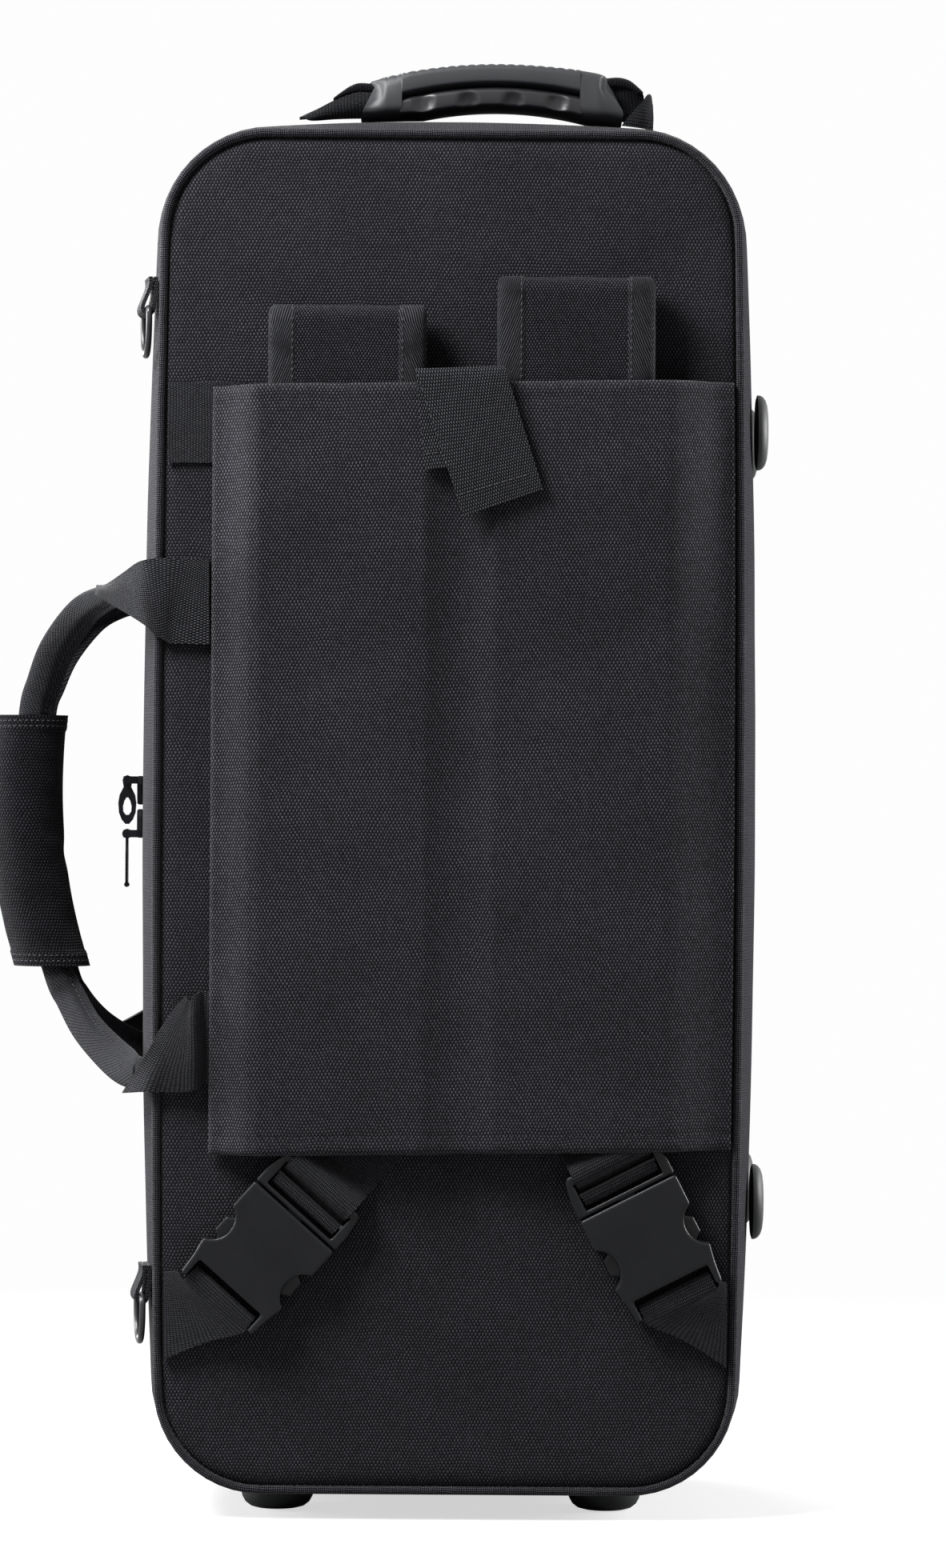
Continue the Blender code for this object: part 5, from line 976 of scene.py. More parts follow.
# carry handles: webbing that folds into a tube between its sewn ends
handleShape = {
    "plane": 9.4 * mm,  # from the zip to the middle of each tube
    "gripWidth": 37 * mm, "gripShift": 3.6 * mm, "gripHeight": 17.5 * mm, "gripWall": 2 * mm,
    "gripTop": 374 * mm, "gripBottom": 251.9 * mm, "gripIn": 0.5 * mm,
    "hem": 7 * mm, "hemRise": 0.55 * mm, "pinch": 2.6 * mm, "lipFold": 0.9 * mm,
    "folds": (0.9 * mm, 0.018), "waves": (1.5 * mm, 0.045), "calmEnd": 14 * mm,
    "hemRows": (2.6 * mm, 5.2 * mm), "gripSteps": 90,
    "blendFrom": -128 * mm, "blendTo": -150 * mm, "lidEnds": 650,
    "tubeSides": 36, "tubeFlat": 0.34,
    "seamAt": 0.56,  # where the folded webbing is sewn shut, as a share of its half width
    # x, z, depth behind the panel, half width, half thickness, in mm
    "tube": (
        (-141, 430, 0, 5, 1.4), (-148, 431, 9, 5, 2.4), (-156, 431, 22, 5.6, 3.6),
        (-164.5, 429.5, 40, 6.4, 4.3), (-177, 423, 58, 8.0, 4.6), (-190, 406.5, 73, 8.6, 4.6),
        (-197, 390, 82, 8.6, 4.5), (-201.3, 374.5, 85.6, 8.4, 4.5), (-203.1, 333, 85.6, 8.6, 4.5),
        (-199.2, 290, 85.6, 8.6, 4.5), (-188.8, 248.5, 84.8, 7.8, 4.5), (-182.8, 236, 81, 7.6, 4.5),
        (-174.2, 223.6, 64, 8.0, 4.5), (-163.7, 214, 45, 8.6, 4.2), (-153.3, 207.2, 23, 9.0, 3.6),
        (-146, 205, 7, 8.0, 2.4), (-139, 206, -1, 6.0, 1.4),
    ),
    # across the opened-out webbing, from its sewn end to the tube, in mm
    "upperFan": (
        ((-113, 446.5, -2.4), (-113, 426.5, -2.4), (-112.5, 406.5, -2.4)),
        ((-123.5, 446.5, -2.5), (-127, 427, -2.6), (-130, 407, -2.5)),
        ((-135, 447, -2.6), (-134.5, 427.5, -4.4), (-134, 408.5, -3.2)),
        ((-143, 446, -1.5), (-140, 428, -4.6), (-138, 411, -3.6)),
        ((-147, 444.5, 4), (-145, 430.5, -2.4), (-143, 416, -2.2)),
        ((-152.5, 441, 12), (-151, 431, 5), (-150, 420.5, 5)),
        ((-159, 437, 22), (-158.5, 431, 14.5), (-158.5, 425.5, 15)),
        ((-164, 434.5, 31), (-165, 432, 25), (-166, 429.5, 26)),
        ((-168.5, 434.5, 38), (-168, 433, 33), (-168, 431, 34)),
    ),
    "lowerFan": (
        ((-152.5, 194.5, 14), (-142, 212, -3), (-134, 226, -4.6), (-127, 236, -4.8),
         (-121.5, 241.5, -5)),
        ((-142.5, 196, -2.5), (-135.5, 211.5, -6), (-129.5, 223.5, -6.4), (-125, 233, -6.2),
         (-121.2, 240, -5.8)),
        ((-133.5, 196.5, -3.6), (-129.5, 209.5, -6.8), (-126, 220, -7.4), (-123.5, 230, -7),
         (-120.8, 239, -6)),
        ((-124.5, 196.5, -4.6), (-123.5, 207, -7.6), (-122, 218, -8.4), (-121, 229, -8),
         (-120, 239.5, -6.2)),
        ((-118.6, 197.5, -6), (-118.5, 208.5, -8.4), (-118.8, 220, -8.8), (-119.2, 232, -8.2),
         (-119, 241.5, -5.6)),
        ((-116.6, 198.5, -4), (-116.4, 210, -4.6), (-116.6, 221, -5), (-116.8, 232.5, -5),
         (-117.2, 243, -3.6)),
        ((-115.2, 200.5, -1.8), (-115, 212, -1.7), (-115, 223, -1.7), (-115, 233.5, -1.7),
         (-115, 243.5, -1.8)),
        ((-111, 201, -1.8), (-111, 213, -1.7), (-111, 224, -1.7), (-111, 234.5, -1.7),
         (-111, 243.5, -1.8)),
    ),
}


def besidePanel(side, depth):  # places in mm to points; the lid's handle has a little less depth
    plane = handleShape["plane"]
    squeeze = (depth - plane) / (backDepth - plane)

    def placed(x, z, inward):
        deep = inward * mm * (squeeze if inward > 0 else 1)
        return at(x * mm, side * (depth - deep), z * mm)
    return placed


def addFan(name, rows, placed, look, body, stands=()):
    grid = [[placed(*spot) for spot in smoothRoute(inThrees(flat), 10)]
            for flat in smoothSpots(rows, 8)]
    last, wide = len(grid) - 1, len(grid[0]) - 1
    rings = []
    out = Vector((0, -1, 0))
    for i, row in enumerate(grid):
        backs = []
        for j, spot in enumerate(row):
            down = grid[min(i + 1, last)][j] - grid[max(i - 1, 0)][j]
            side = row[min(j + 1, wide)] - row[max(j - 1, 0)]
            turn = down.cross(side)
            if turn.length > 0.05 * down.length * side.length:  # else the last one stays
                out = turn.normalized()
            backs.append(spot + out * webbing["thickness"])
        rings.append(row + backs[::-1])
    addTube(name, rings, look, body, stands)


def tubeRings(side, placed):
    shape = handleShape
    rows = smoothRoute(shape["tube"], 8)
    path = [placed(*row[:3]) for row in rows]
    outward = Vector((0, side, 0))
    rings = []
    run = []
    for row, point, heading in zip(rows, path, headings(path)):
        width, thickness = row[3] * mm, row[4] * mm
        up = (outward - outward.dot(heading) * heading).normalized()
        across = heading.cross(up)
        across = across if across.x > 0 else -across  # points at the case
        ring = []
        for u, v in squarish(shape["tubeSides"], 0.85, 0.8):
            flat = mix(1, shape["tubeFlat"], ease((u - 0.30) / 0.30))
            soft = 1 + 0.07 * wave(point + across * u * width, 0.018, side)
            ring.append(point + across * u * width + up * v * thickness * flat * soft)
        rings.append(ring)
        lift = up * (thickness * 0.42 + 0.1 * mm)
        run.append((point + across * width * shape["seamAt"] + lift, up))
    return path, rings, run[16:-16]


def gripRows(side, path):
    shape = handleShape
    start, end = baseZ + shape["gripTop"], baseZ + shape["gripBottom"]
    half, high, wall = shape["gripWidth"] / 2, shape["gripHeight"], shape["gripWall"]
    length = start - end
    steps = shape["gripSteps"]
    angles = [pi * k / 36 for k in range(37)]
    (fold, foldSize), (long, longSize) = shape["folds"], shape["waves"]
    rows = []
    for row in range(steps + 1):
        t = row / steps
        z = mix(start, end, t)
        before, after = next((a, b) for a, b in zip(path, path[1:]) if a.z >= z > b.z)
        x = mix(before.x, after.x, (before.z - z) / (before.z - after.z)) - shape["gripShift"]
        ends = min(t, 1 - t) * length
        hem = shape["hemRise"] * (1 - ease((ends - shape["hem"]) / (1.0 * mm)))
        slack = ease(ends / shape["calmEnd"])
        outer = []
        for a in angles:
            c, s = cos(a), sin(a)
            near = max(c, 0) ** 2
            spot = Vector((x + half * c, side * (gap + (high - gap) * s), z))
            dent = shape["pinch"] * exp(-((t - 0.42) / 0.10) ** 2) * near * max(s, 0.0) ** 0.4
            dent += shape["lipFold"] * exp(-((t - 0.55) / 0.05) ** 2) * near
            folds = fold * wave((spot.x + 0.6 * spot.z, spot.y, spot.z * 1.6), foldSize, 7)
            folds += long * wave(spot, longSize, 9)
            soft = folds * min(1, s * 3) * slack
            spot += Vector((c, side * s * 0.7, 0)) * (soft - dent + hem - shape["gripIn"])
            outer.append(spot)
        wide, deep = half - wall, high - wall - gap
        rows.append(outer + [Vector((x + wide * cos(a), side * (gap + deep * sin(a)), z))
                             for a in reversed(angles)])
    runs = []
    for inset in shape["hemRows"]:
        first = round(inset / length * steps)
        for index in (first, steps - first):
            runs.append([(rows[index][k], Vector((cos(angles[k]), side * sin(angles[k]), 0)))
                         for k in range(1, 36)])
    return rows, runs


def buildHandles():
    shape = handleShape
    swing = (at(shape["blendFrom"], 0, 0), at(shape["blendTo"], 0, 0))
    for word, owner, side, depth in halves:
        body = "handle_" + word
        placed = besidePanel(side, depth)
        path, rings, run = tubeRings(side, placed)
        addTube(word + "Handle", rings, tubeLook, body, ["carry_handle_" + word],
                smooth=50)
        addStitches(word + "HandleStitches", [run], body, length=2.4 * mm, thread=0.22 * mm)

        upper = shape["upperFan"] if side < 0 else shape["upperFan"][2:]
        lower = shape["lowerFan"]
        if side > 0:  # the far handle's lower end is the upper one turned over
            lower = [[(x, shape["lidEnds"] - z, inward) for x, z, inward in reversed(row)]
                     for row in upper]
        for end, rows in (("Upper", upper), ("Lower", lower)):
            addFan(word + end + "Fan", rows, placed, webbingLook, (owner, body, *swing))

        rows, runs = gripRows(side, path)
        wrap = addTube(word + "GripWrap", rows, sleeveLook, body, ["grip_wrap_" + word],
                       smooth=50)
        addStitches(word + "GripStitches", runs, body, gripThreadLook, length=1.9 * mm)


# top handle
topShape = {  # heights and lengths in mm where a list has them
    "width": 30 * mm, "insertWidth": 28.6 * mm, "from": -44, "to": 81, "middle": 21,
    "top": 686, "fallLeft": 0.00217, "fallRight": 0.00172,  # mm of drop per mm squared
    "insertTop": 674.3, "insertFall": 0.0028, "insertFrom": -24.4, "insertTo": 60.2,
    "insertUp": 0.6 * mm,  # into the grip
    "under": 663.4, "underFall": 0.0030, "clear": 0.5 * mm, "underRise": 2.2 * mm,
    "ridges": 19, "ridgesFrom": -32, "ridgesTo": 58.5, "ridgeDepth": 0.75 * mm,
    "dents": (-13.9, 7.0, 28.4, 49.6), "dentHeight": 666.8, "dentRadius": 6.6 * mm,
    "dentDepth": 1.5 * mm, "scoop": 0.17, "depth": 47.5, "square": 0.42, "sides": 56,
    "gripSteps": 420, "insertSteps": 240, "loopSides": 32,
    # z, x of each end's outline
    "leftEnd": ((677.4, -41.9), (675.8, -38.4), (672.9, -36.9), (668.8, -37.2), (667.3, -38.9),
                (665.3, -41.8), (662.3, -43.5), (659.7, -44.1)),
    "rightEnd": ((680.8, 76.2), (679.6, 73.7), (674.3, 72.8), (671.9, 73.8), (669.3, 76.7),
                 (666.7, 79.7), (662.0, 81.2), (656.7, 80.3)),
    # webbing from each end of the grip down to the case: x, z, depth behind the panel
    "leftStrap": (
        ((-34, 672.5, 42), (-34, 666, 38), (-35, 660.5, 41)),
        ((-45, 671.5, 40), (-45, 665.5, 36.5), (-45, 660.2, 40)),
        ((-55.5, 667.8, 39), (-55.5, 663.5, 37), (-55.5, 660, 40)),
        ((-64.5, 663.2, 40), (-64.5, 661.2, 39), (-64.5, 659.6, 41)),
        ((-73, 659.3, 44), (-73.2, 659.1, 42.5), (-73.4, 658.9, 41)),
    ),
    "rightInner": (
        ((73, 675, 42), (73, 668, 41), (73, 660, 42)),
        ((80, 675, 40.5), (80.5, 668, 41), (81, 659, 43)),
        ((86, 674, 40), (87, 668, 42), (88, 658, 44)),
        ((91, 671.5, 41), (91.5, 666, 43), (92, 657, 45)),
    ),
    "rightStrap": (
        ((92.6, 672, 42), (93.6, 671.2, 45), (93.4, 669.5, 50)),
        ((91.2, 669.4, 37), (93.2, 669.4, 38.5), (94.1, 667.5, 44)),
        ((87.8, 665, 35), (91.5, 664.6, 35), (94.4, 663.4, 39)),
        ((84, 660.8, 35), (89.8, 660.2, 34), (94.8, 659.2, 37)),
        ((80.4, 656.4, 36), (88, 655.6, 35), (95, 654.4, 37)),
    ),
    # loops round the grip's ends: x, top, bottom, near and far depth
    "leftLoop": ((-34, 676, 671.5, 38, 57), (-44, 677, 671.5, 38, 57), (-49, 675.6, 670.8, 38, 57),
                 (-54, 672.2, 669, 38, 57), (-57.3, 669.6, 667.6, 38.5, 56.5)),
    "rightLoop": ((70, 679.4, 674, 38, 57), (78, 680.4, 674.5, 38, 57), (83.7, 679.2, 674, 38, 57),
                  (87.8, 676.2, 672, 38, 57), (90.6, 673.4, 671.2, 38.5, 56.5)),
}


def topOut(x, fromPanel):  # height of the case's top
    shape = caseShape
    t = min(abs(x) / straightX, 1)
    past = max(abs(x) - straightX, 0)
    radius = shape["cornerRadius"]
    share = 1 + shape["crown"] * (1 - t * t) + shape["topExtra"] * (1 - (past / radius) ** 2)
    height = radius + shape["pipingRadius"] + bulgeAt(backDepth, fromPanel) * share
    return seamTop - radius + sqrt(max(height * height - past * past, 0))


def between(pairs, value):  # straight steps through falling first numbers
    for (a, fa), (b, fb) in zip(pairs, pairs[1:]):
        if a >= value >= b:
            return mix(fa, fb, (a - value) / (a - b))
    return pairs[0][1] if value > pairs[0][0] else pairs[-1][1]


def gripLevels(x):  # top, join and underside of the grip at a place along it, from the floor
    shape = topShape
    away = x - shape["middle"]
    top = shape["top"] - shape["fallLeft" if away < 0 else "fallRight"] * away * away
    join = shape["insertTop"] - shape["insertFall"] * away * away
    under = shape["under"] - shape["underFall"] * away * away
    floorZ = topOut(x * mm, shape["depth"] * mm) - baseZ + shape["clear"]
    return top * mm, join * mm, max(under * mm, floorZ)


def gripRing(x, high, low, half, body):
    shape = topShape
    t = 2 * (x - shape["from"]) / (shape["to"] - shape["from"]) - 1
    phase = (x - shape["ridgesFrom"]) / (shape["ridgesTo"] - shape["ridgesFrom"])
    ridge = 0
    if body and 0 < phase < 1:
        ridge = shape["ridgeDepth"] * (1 - abs(sin(pi * shape["ridges"] * phase)) ** 0.7)
    ends = 1 - 0.12 * ease((abs(t) - 0.8) / 0.2)
    nearEnd = ease((abs(t) - 0.62) / 0.3) if body else 0
    outline, plain = ("leftEnd", "from") if t < 0 else ("rightEnd", "to")
    ring = []
    for u, v in squarish(shape["sides"], shape["square"], shape["square"]):
        z = (high + low) / 2 + v * (high - low) / 2
        wide = half * u * ends * (1 - shape["scoop"] * nearEnd * ease(v))
        dent = 0
        for spot in () if body else shape["dents"]:
            gone = hypot(x - spot, z / mm - shape["dentHeight"]) * mm / shape["dentRadius"]
            dent += shape["dentDepth"] * ease(1.35 - 1.35 * gone)
        wide -= dent * u * abs(u)
        z -= ridge * max(v, 0) ** 5
        # the rise leaves room for the tilt
        z += shape["underRise"] * max(-v, 0) ** 3 * min(abs(wide) / half, 1) ** 2
        shift = 0
        if body:
            shift = between(shape[outline], z / mm) - shape[plain]
            shift *= ease((abs(t) - 0.78) / 0.22)
        ring.append(at((x + shift) * mm, backFace + shape["depth"] * mm + wide, z))
    return ring


def buildTopHandle():
    shape = topShape
    rings = []
    inside = False
    for k in range(shape["gripSteps"] + 1):
        x = mix(shape["from"], shape["to"], k / shape["gripSteps"])
        top, join, under = gripLevels(x)
        now = shape["insertFrom"] < x < shape["insertTo"]
        lows = [join] if now != inside else []  # a square step where the insert starts and ends
        inside = now
        for low in lows + [join if now else under]:
            rings.append(gripRing(x, top, low, shape["width"] / 2, True))
    addTube("topGrip", rings, gripLook, "top_handle", ["top_handle_grip"], smooth=50)

    rings = []
    for k in range(shape["insertSteps"] + 1):
        x = mix(shape["insertFrom"] - 1, shape["insertTo"] + 1, k / shape["insertSteps"])
        _, join, under = gripLevels(x)
        rings.append(gripRing(x, join + shape["insertUp"], under, shape["insertWidth"] / 2, False))
    addTube("topInsert", rings, insertLook, "top_handle", ["top_handle_insert"],
            smooth=50)

    def placed(x, z, inward):
        return at(x * mm, backFace + inward * mm, z * mm)

    for name, key, nodes in (("topLeftStrap", "leftStrap", ["top_handle_webbing"]),
                             ("topRightInner", "rightInner", ()),
                             ("topRightStrap", "rightStrap", ())):
        addFan(name, shape[key], placed, thickWebbingLook, "top_handle", nodes)
    for name, key in (("topLeftLoop", "leftLoop"), ("topRightLoop", "rightLoop")):
        rings = []
        for x, top, bottom, near, far in smoothRoute(shape[key], 6):
            spots = [placed(x, z, y) for z, y in
                     ((top, near), (top, far), (bottom, far), (bottom, near))]
            middle = sum(spots, Vector()) / 4
            wide, high = (spots[1] - spots[0]) / 2, (spots[0] - spots[3]) / 2
            rings.append([middle + wide * u + high * v
                          for u, v in squarish(shape["loopSides"], 0.5, 0.6)])
        addTube(name, rings, loopLook, "top_handle")


# buckles and their webbing; u along the strap, v across it, w out of the panel
buckleShape = {
    # place, lean, side, the corner webbing's low and high end
    "places": (("left", (-107.1 * mm, 98 * mm), radians(48.2), -1, 70.2 * mm, 111.4 * mm),
               ("right", (109.9 * mm, 99.7 * mm), radians(117), 1, 68.3 * mm, 108 * mm)),
    "length": 75.4 * mm, "tail": 74 * mm, "frameLift": 1.2 * mm, "frameHeight": 9 * mm,
    "slotWidth": 5 * mm, "topBar": 4.2 * mm, "middleBar": 3.6 * mm, "middleBarHeight": 3 * mm,
    "bar": (0.8 * mm, 4.6 * mm, 4.5 * mm, 8.5 * mm),  # the body's: near, far, low, high
    "cornerHalf": 18.4 * mm, "cornerThickness": 1.2 * mm, "cornerShort": 1 * mm,
    "voxel": 0.45 * mm, "smooth": 9,
}


def buckleFrame(place, lean):
    along = Vector((cos(lean), 0, sin(lean)))
    out = Vector((0, -1, 0))
    turned = Matrix((along, out.cross(along), out)).transposed().to_4x4()
    return Matrix.Translation(at(place[0], backFace - gap, place[1])) @ turned


def strapWebbing(word, spot):  # from under the flap, through the frame and back on itself
    shape = buckleShape
    half = webbing["thickness"] / 2
    length, tail, topBar, slot, lift, high, thin = (shape[key] for key in (
        "length", "tail", "topBar", "slotWidth", "frameLift", "frameHeight", "middleBarHeight"))
    over = lift + high + half + 2 * gap
    under = lift + (high - thin) / 2 - half - 2 * gap
    middle = lift + high / 2
    upperEnd = length - topBar
    upper = upperEnd - slot
    lowerEnd = upper - shape["middleBar"]
    bar = (upper + lowerEnd) / 2
    top = middle + thin / 2 + half
    rows = (
        (length + tail, half), (length + tail / 2, half), (length + topBar * 3, half + 4 * gap),
        (length + topBar * 1.6, middle), (length + topBar / 2, over + gap), (upperEnd, over + gap),
        (upperEnd - slot / 2 + gap, middle + half), (upper + slot / 3, under + half),
        (bar, under), (lowerEnd - slot / 3, under + half), (lowerEnd - slot / 2, middle),
        (lowerEnd - slot / 3, top + 2 * gap), (bar, top + 4 * gap),
    )
    path = [spot @ Vector((u, 0, w)) for u, w in rows]
    across = [spot.to_3x3() @ Vector((0, webbing["width"] / 2, 0))] * len(path)
    addWebbing(word + "StrapWebbing", path, across, "back_half", ["strap_webbing_" + word], 3)


def cornerWebbing(word, spot, side, lowZ, highZ):  # from the seam round the body's bar
    shape = buckleShape
    near, far, low, high = shape["bar"]
    x = side * (seamHalf(baseZ + (lowZ + highZ) / 2) - shape["cornerShort"])
    half = shape["cornerThickness"] / 2
    sewn = at(x, backFace - gap, (lowZ + highZ) / 2)
    sewnHalf = Vector((0, 0, (highZ - lowZ) / 2))
    barHalf = spot.to_3x3() @ Vector((0, shape["cornerHalf"], 0))
    if barHalf.dot(sewnHalf) < 0:
        sewnHalf = -sewnHalf
    under = low - half - gap
    over = high + half + gap
    room = (far - near) / 2 + half + gap
    rows = (  # share of the way to the bar, along, height
        (0.0, 0, half + gap), (0.5, 0, half + 2 * gap), (1.0, -2 * room, under - half),
        (1.0, -room * 0.4, under), (1.0, room * 0.95, under), (1.0, room * 1.25, (low + high) / 2),
        (1.0, room * 0.95, over), (1.0, -room * 0.4, over), (1.0, -2 * room, over - half),
        (0.5, 0, (over + 3 * half) / 2), (0.0, 0, 3 * half + 4 * gap),
    )
    path = []
    across = []
    for share, along, height in rows:
        there = spot @ Vector(((near + far) / 2 + along, 0, height))
        path.append(mix(sewn + Vector((0, -height, 0)), there, share))
        across.append(mix(sewnHalf, barHalf, share))
    addWebbing(word + "CornerWebbing", path, across, "back_half", ["corner_webbing_" + word], 4,
               thickness=shape["cornerThickness"])


def buildBuckles():
    shape = buckleShape
    for word, place, lean, side, lowZ, highZ in shape["places"]:
        parts = [("Body", "buckle_body_" + word, "back_half"),
                 ("Frame", "buckle_frame_" + word, "back_half")]
        for end in ("outer", "inner"):
            prong = "prong_%s_%s" % (word, end)
            parts.append((end.title() + "Prong", "buckle_" + prong, prong))
        for suffix, node, body in parts:
            softCopy(word + "Buckle" + suffix, node, buckleLook, body, shape)
        spot = buckleFrame(place, lean)
        strapWebbing(word, spot)
        cornerWebbing(word, spot, side, lowZ, highZ)


# D-rings in their loops on the zip side
ringShape = {
    "depth": 19 * mm, "wire": 1.5 * mm, "halfWidth": 14 * mm, "drop": 21.5 * mm, "bend": 3 * mm,
    "loopWidth": 20 * mm, "loopThickness": 1.8 * mm, "loopLength": 15 * mm, "out": 5.2 * mm,
    "room": 1.7 * mm, "places": (("upper", 565.5 * mm), ("lower", 98.5 * mm)),
    "bendSteps": 6, "bowSteps": 24, "sides": 14,
}


def sideOut(z, fromPanel):
    t = (baseZ + z - midZ) / straightZ
    share = 1 + caseShape["crown"] * (1 - t * t)
    return seamHalf(baseZ + z) + caseShape["pipingRadius"] + bulgeAt(backDepth, fromPanel) * share


def ringLoop(word, spot):
    shape = ringShape
    half, length, out = shape["loopThickness"] / 2, shape["loopLength"], shape["out"]
    turn = shape["room"] + half
    rows = (  # out, up
        (half + 3 * gap, length), (half + 2 * gap, length / 2), (out - turn - gap, turn * 1.3),
        (out - turn, 0), (out - turn * 0.7, -turn * 0.7), (out, -turn),
        (out + turn * 0.7, -turn * 0.7), (out + turn, 0), (out + turn * 0.8, turn),
        (3 * half + 5 * gap, length * 0.7), (3 * half + 5 * gap, length),
    )
    path = [spot @ Vector((o, 0, up)) for o, up in rows]
    across = [spot.to_3x3() @ Vector((0, shape["loopWidth"] / 2, 0))] * len(path)
    addWebbing(word + "RingLoop", path, across, "back_half", ["ring_loop_" + word], 4,
               thickness=shape["loopThickness"])


def ringOutline():  # across, up: a straight bar, two bends and a bow
    shape = ringShape
    bend = shape["bend"]
    straight, fall = shape["halfWidth"] - bend, shape["drop"] - bend
    steps = shape["bendSteps"]
    angles = [pi / 2 - pi / 2 * k / steps for k in range(steps + 1)]

    def corner(sign, a):
        return sign * (straight + bend * cos(a)), bend * (sin(a) - 1)

    found = [corner(1, a) for a in angles]
    for k in range(1, shape["bowSteps"]):
        angle = pi * k / shape["bowSteps"]
        found.append((shape["halfWidth"] * cos(angle), -bend - fall * sin(angle) ** 0.8))
    return found + [corner(-1, pi / 2 - a) for a in angles]


def buildRings():
    shape = ringShape
    depth, halfLoop = shape["depth"], shape["loopWidth"] / 2
    for word, z in shape["places"]:
        near, far = sideOut(z, depth - halfLoop), sideOut(z, depth + halfLoop)
        along = Vector((near - far, shape["loopWidth"], 0)).normalized()
        out = Vector((-along.y, along.x, 0))
        turned = Matrix((out, along, Vector((0, 0, 1)))).transposed().to_4x4()
        spot = Matrix.Translation(at(-sideOut(z, depth), backFace + depth, z)) @ turned
        ringLoop(word, spot)
        points = [spot @ Vector((shape["out"], across, up)) for across, up in ringOutline()]
        rows = []
        for point, heading in zip(points, headings(points, True)):
            side = heading.cross(out).normalized()
            top = side.cross(heading).normalized()
            rows.append(circle(point, side, top, shape["wire"], shape["sides"]))
        addTube(word + "Ring", rows, ringLook, "ring_" + word, ["d_ring_" + word],
                smooth=80, loop=True)


# pocket on the lid: gusset, zip, and a padded front that opens on its bottom edge
pocketShape = {
    "width": 220 * mm, "bottom": 70 * mm, "top": 400 * mm, "radius": 35 * mm, "depth": 32 * mm,
    "zipFrom": 14.5 * mm, "tape": 4.6 * mm, "tapeThickness": 0.9 * mm, "cloth": 1.2 * mm,
    "piping": 1.9 * mm, "pipingIn": 1.6 * mm, "coilIn": 1.1 * mm, "stitchIn": 1.6 * mm,
    "padThickness": 6.5 * mm, "padInset": 1.6 * mm, "crown": 3.0 * mm,
    "padRows": (0.985, 0.9, 0.8, 0.7, 0.6, 0.5, 0.4, 0.3, 0.2, 0.12, 0.06, 0.02),
    "voxel": 4.5 * mm, "pressure": 4.0, "frames": 20, "most": 5.0 * mm,
    "filling": {"quality": 5, "mass": 0.3, "tension_stiffness": 15, "compression_stiffness": 15,
                "bending_stiffness": 0.6, "use_pressure": True},
}
pocketMiddle = (pocketShape["bottom"] + pocketShape["top"]) / 2


def pocketRing(offset, y, shrink=0.0):  # shrink takes it toward the pocket's middle
    shape = pocketShape
    half = shape["width"] / 2 - shape["radius"]
    low = shape["bottom"] + shape["radius"]
    high = shape["top"] - shape["radius"]
    radius = shape["radius"] + offset
    spots = []
    for x, z, start in ((half, high, 0), (-half, high, pi / 2), (-half, low, pi),
                        (half, low, 3 * pi / 2)):
        angles = [start + pi / 2 * k / 9 for k in range(10)]
        spots += [(x + radius * cos(a), z + radius * sin(a)) for a in angles]
    found = []
    for (x, z), (afterX, afterZ) in zip(spots, spots[1:] + spots[:1]):
        steps = max(1, round(hypot(afterX - x, afterZ - z) / (9 * mm)))
        for k in range(steps):
            px, pz = mix(x, afterX, k / steps), mix(z, afterZ, k / steps)
            found.append(at(px * (1 - shrink), y, mix(pz, pocketMiddle, shrink)))
    return found


def pocketLine(offset, y):  # along the zip, with outward directions; the bottom edge is left out
    ring = pocketRing(offset, y)
    middle = at(0, y, pocketMiddle)
    foot = baseZ + pocketShape["bottom"] - offset + 0.1 * mm
    first = next(i for i in range(len(ring)) if ring[i].z >= foot > ring[i - 1].z)
    line = [p for p in ring[first:] + ring[:first] if p.z >= foot]
    outs = []
    for spot, along in zip(line, headings(line)):
        out = along.cross(Vector((0, 1, 0)))
        outs.append(out if out.dot(spot - middle) > 0 else -out)
    return list(zip(line, outs))


def pocketStrip(name, look, body, stops, thickness, stands=()):
    rows = [pocketRing(offset, y) for offset, y in stops]
    rows += [pocketRing(offset - thickness, y) for offset, y in reversed(stops)]
    addTube(name, rows, look, body, stands, smooth=50, loop=True)


def swell(obj, shape):  # fills a closed pad by a short cloth simulation
    scene = bpy.context.scene
    mesh = bpy.data.meshes.new_from_object(obj.evaluated_get(bpy.context.evaluated_depsgraph_get()))
    obj.modifiers.clear()
    obj.data = mesh
    cloth = obj.modifiers.new("cloth", "CLOTH")
    for key, value in shape["filling"].items():
        setattr(cloth.settings, key, value)
    cloth.settings.uniform_pressure_force = shape["pressure"]
    cloth.settings.effector_weights.gravity = 0
    cloth.point_cache.frame_start = 1
    cloth.point_cache.frame_end = shape["frames"]
    for number in range(1, shape["frames"] + 1):
        scene.frame_set(number)
    filled = obj.evaluated_get(bpy.context.evaluated_depsgraph_get()).data
    moved = [v.co.copy() for v in filled.vertices]
    obj.modifiers.clear()
    for vertex, spot in zip(mesh.vertices, moved):  # no point goes far from its first place
        step = spot - vertex.co
        vertex.co += step * min(1, shape["most"] / max(step.length, 1e-9))
    scene.frame_set(1)


def buildPad(front):
    shape = pocketShape
    inset, shrinks = -shape["padInset"], shape["padRows"]
    back, face = front - shape["padThickness"], front - shape["piping"]
    rows = [pocketRing(inset, back, s) for s in shrinks]
    rows += [pocketRing(inset, back), pocketRing(inset, face)]
    rows += [pocketRing(inset, face + shape["crown"] * (1 - (1 - s) ** 3), s)
             for s in reversed(shrinks)]
    pad = addTube("pocketPad", rows, coverLook, "pocket", ["pocket_front"])
    addRemesh(pad, shape["voxel"])
    swell(pad, shape)
    fine = pad.modifiers.new("fine", "SUBSURF")
    fine.levels = fine.render_levels = 1
    pad.data.materials.clear()
    pad.data.materials.append(coverLook)
    pad.data.shade_smooth()


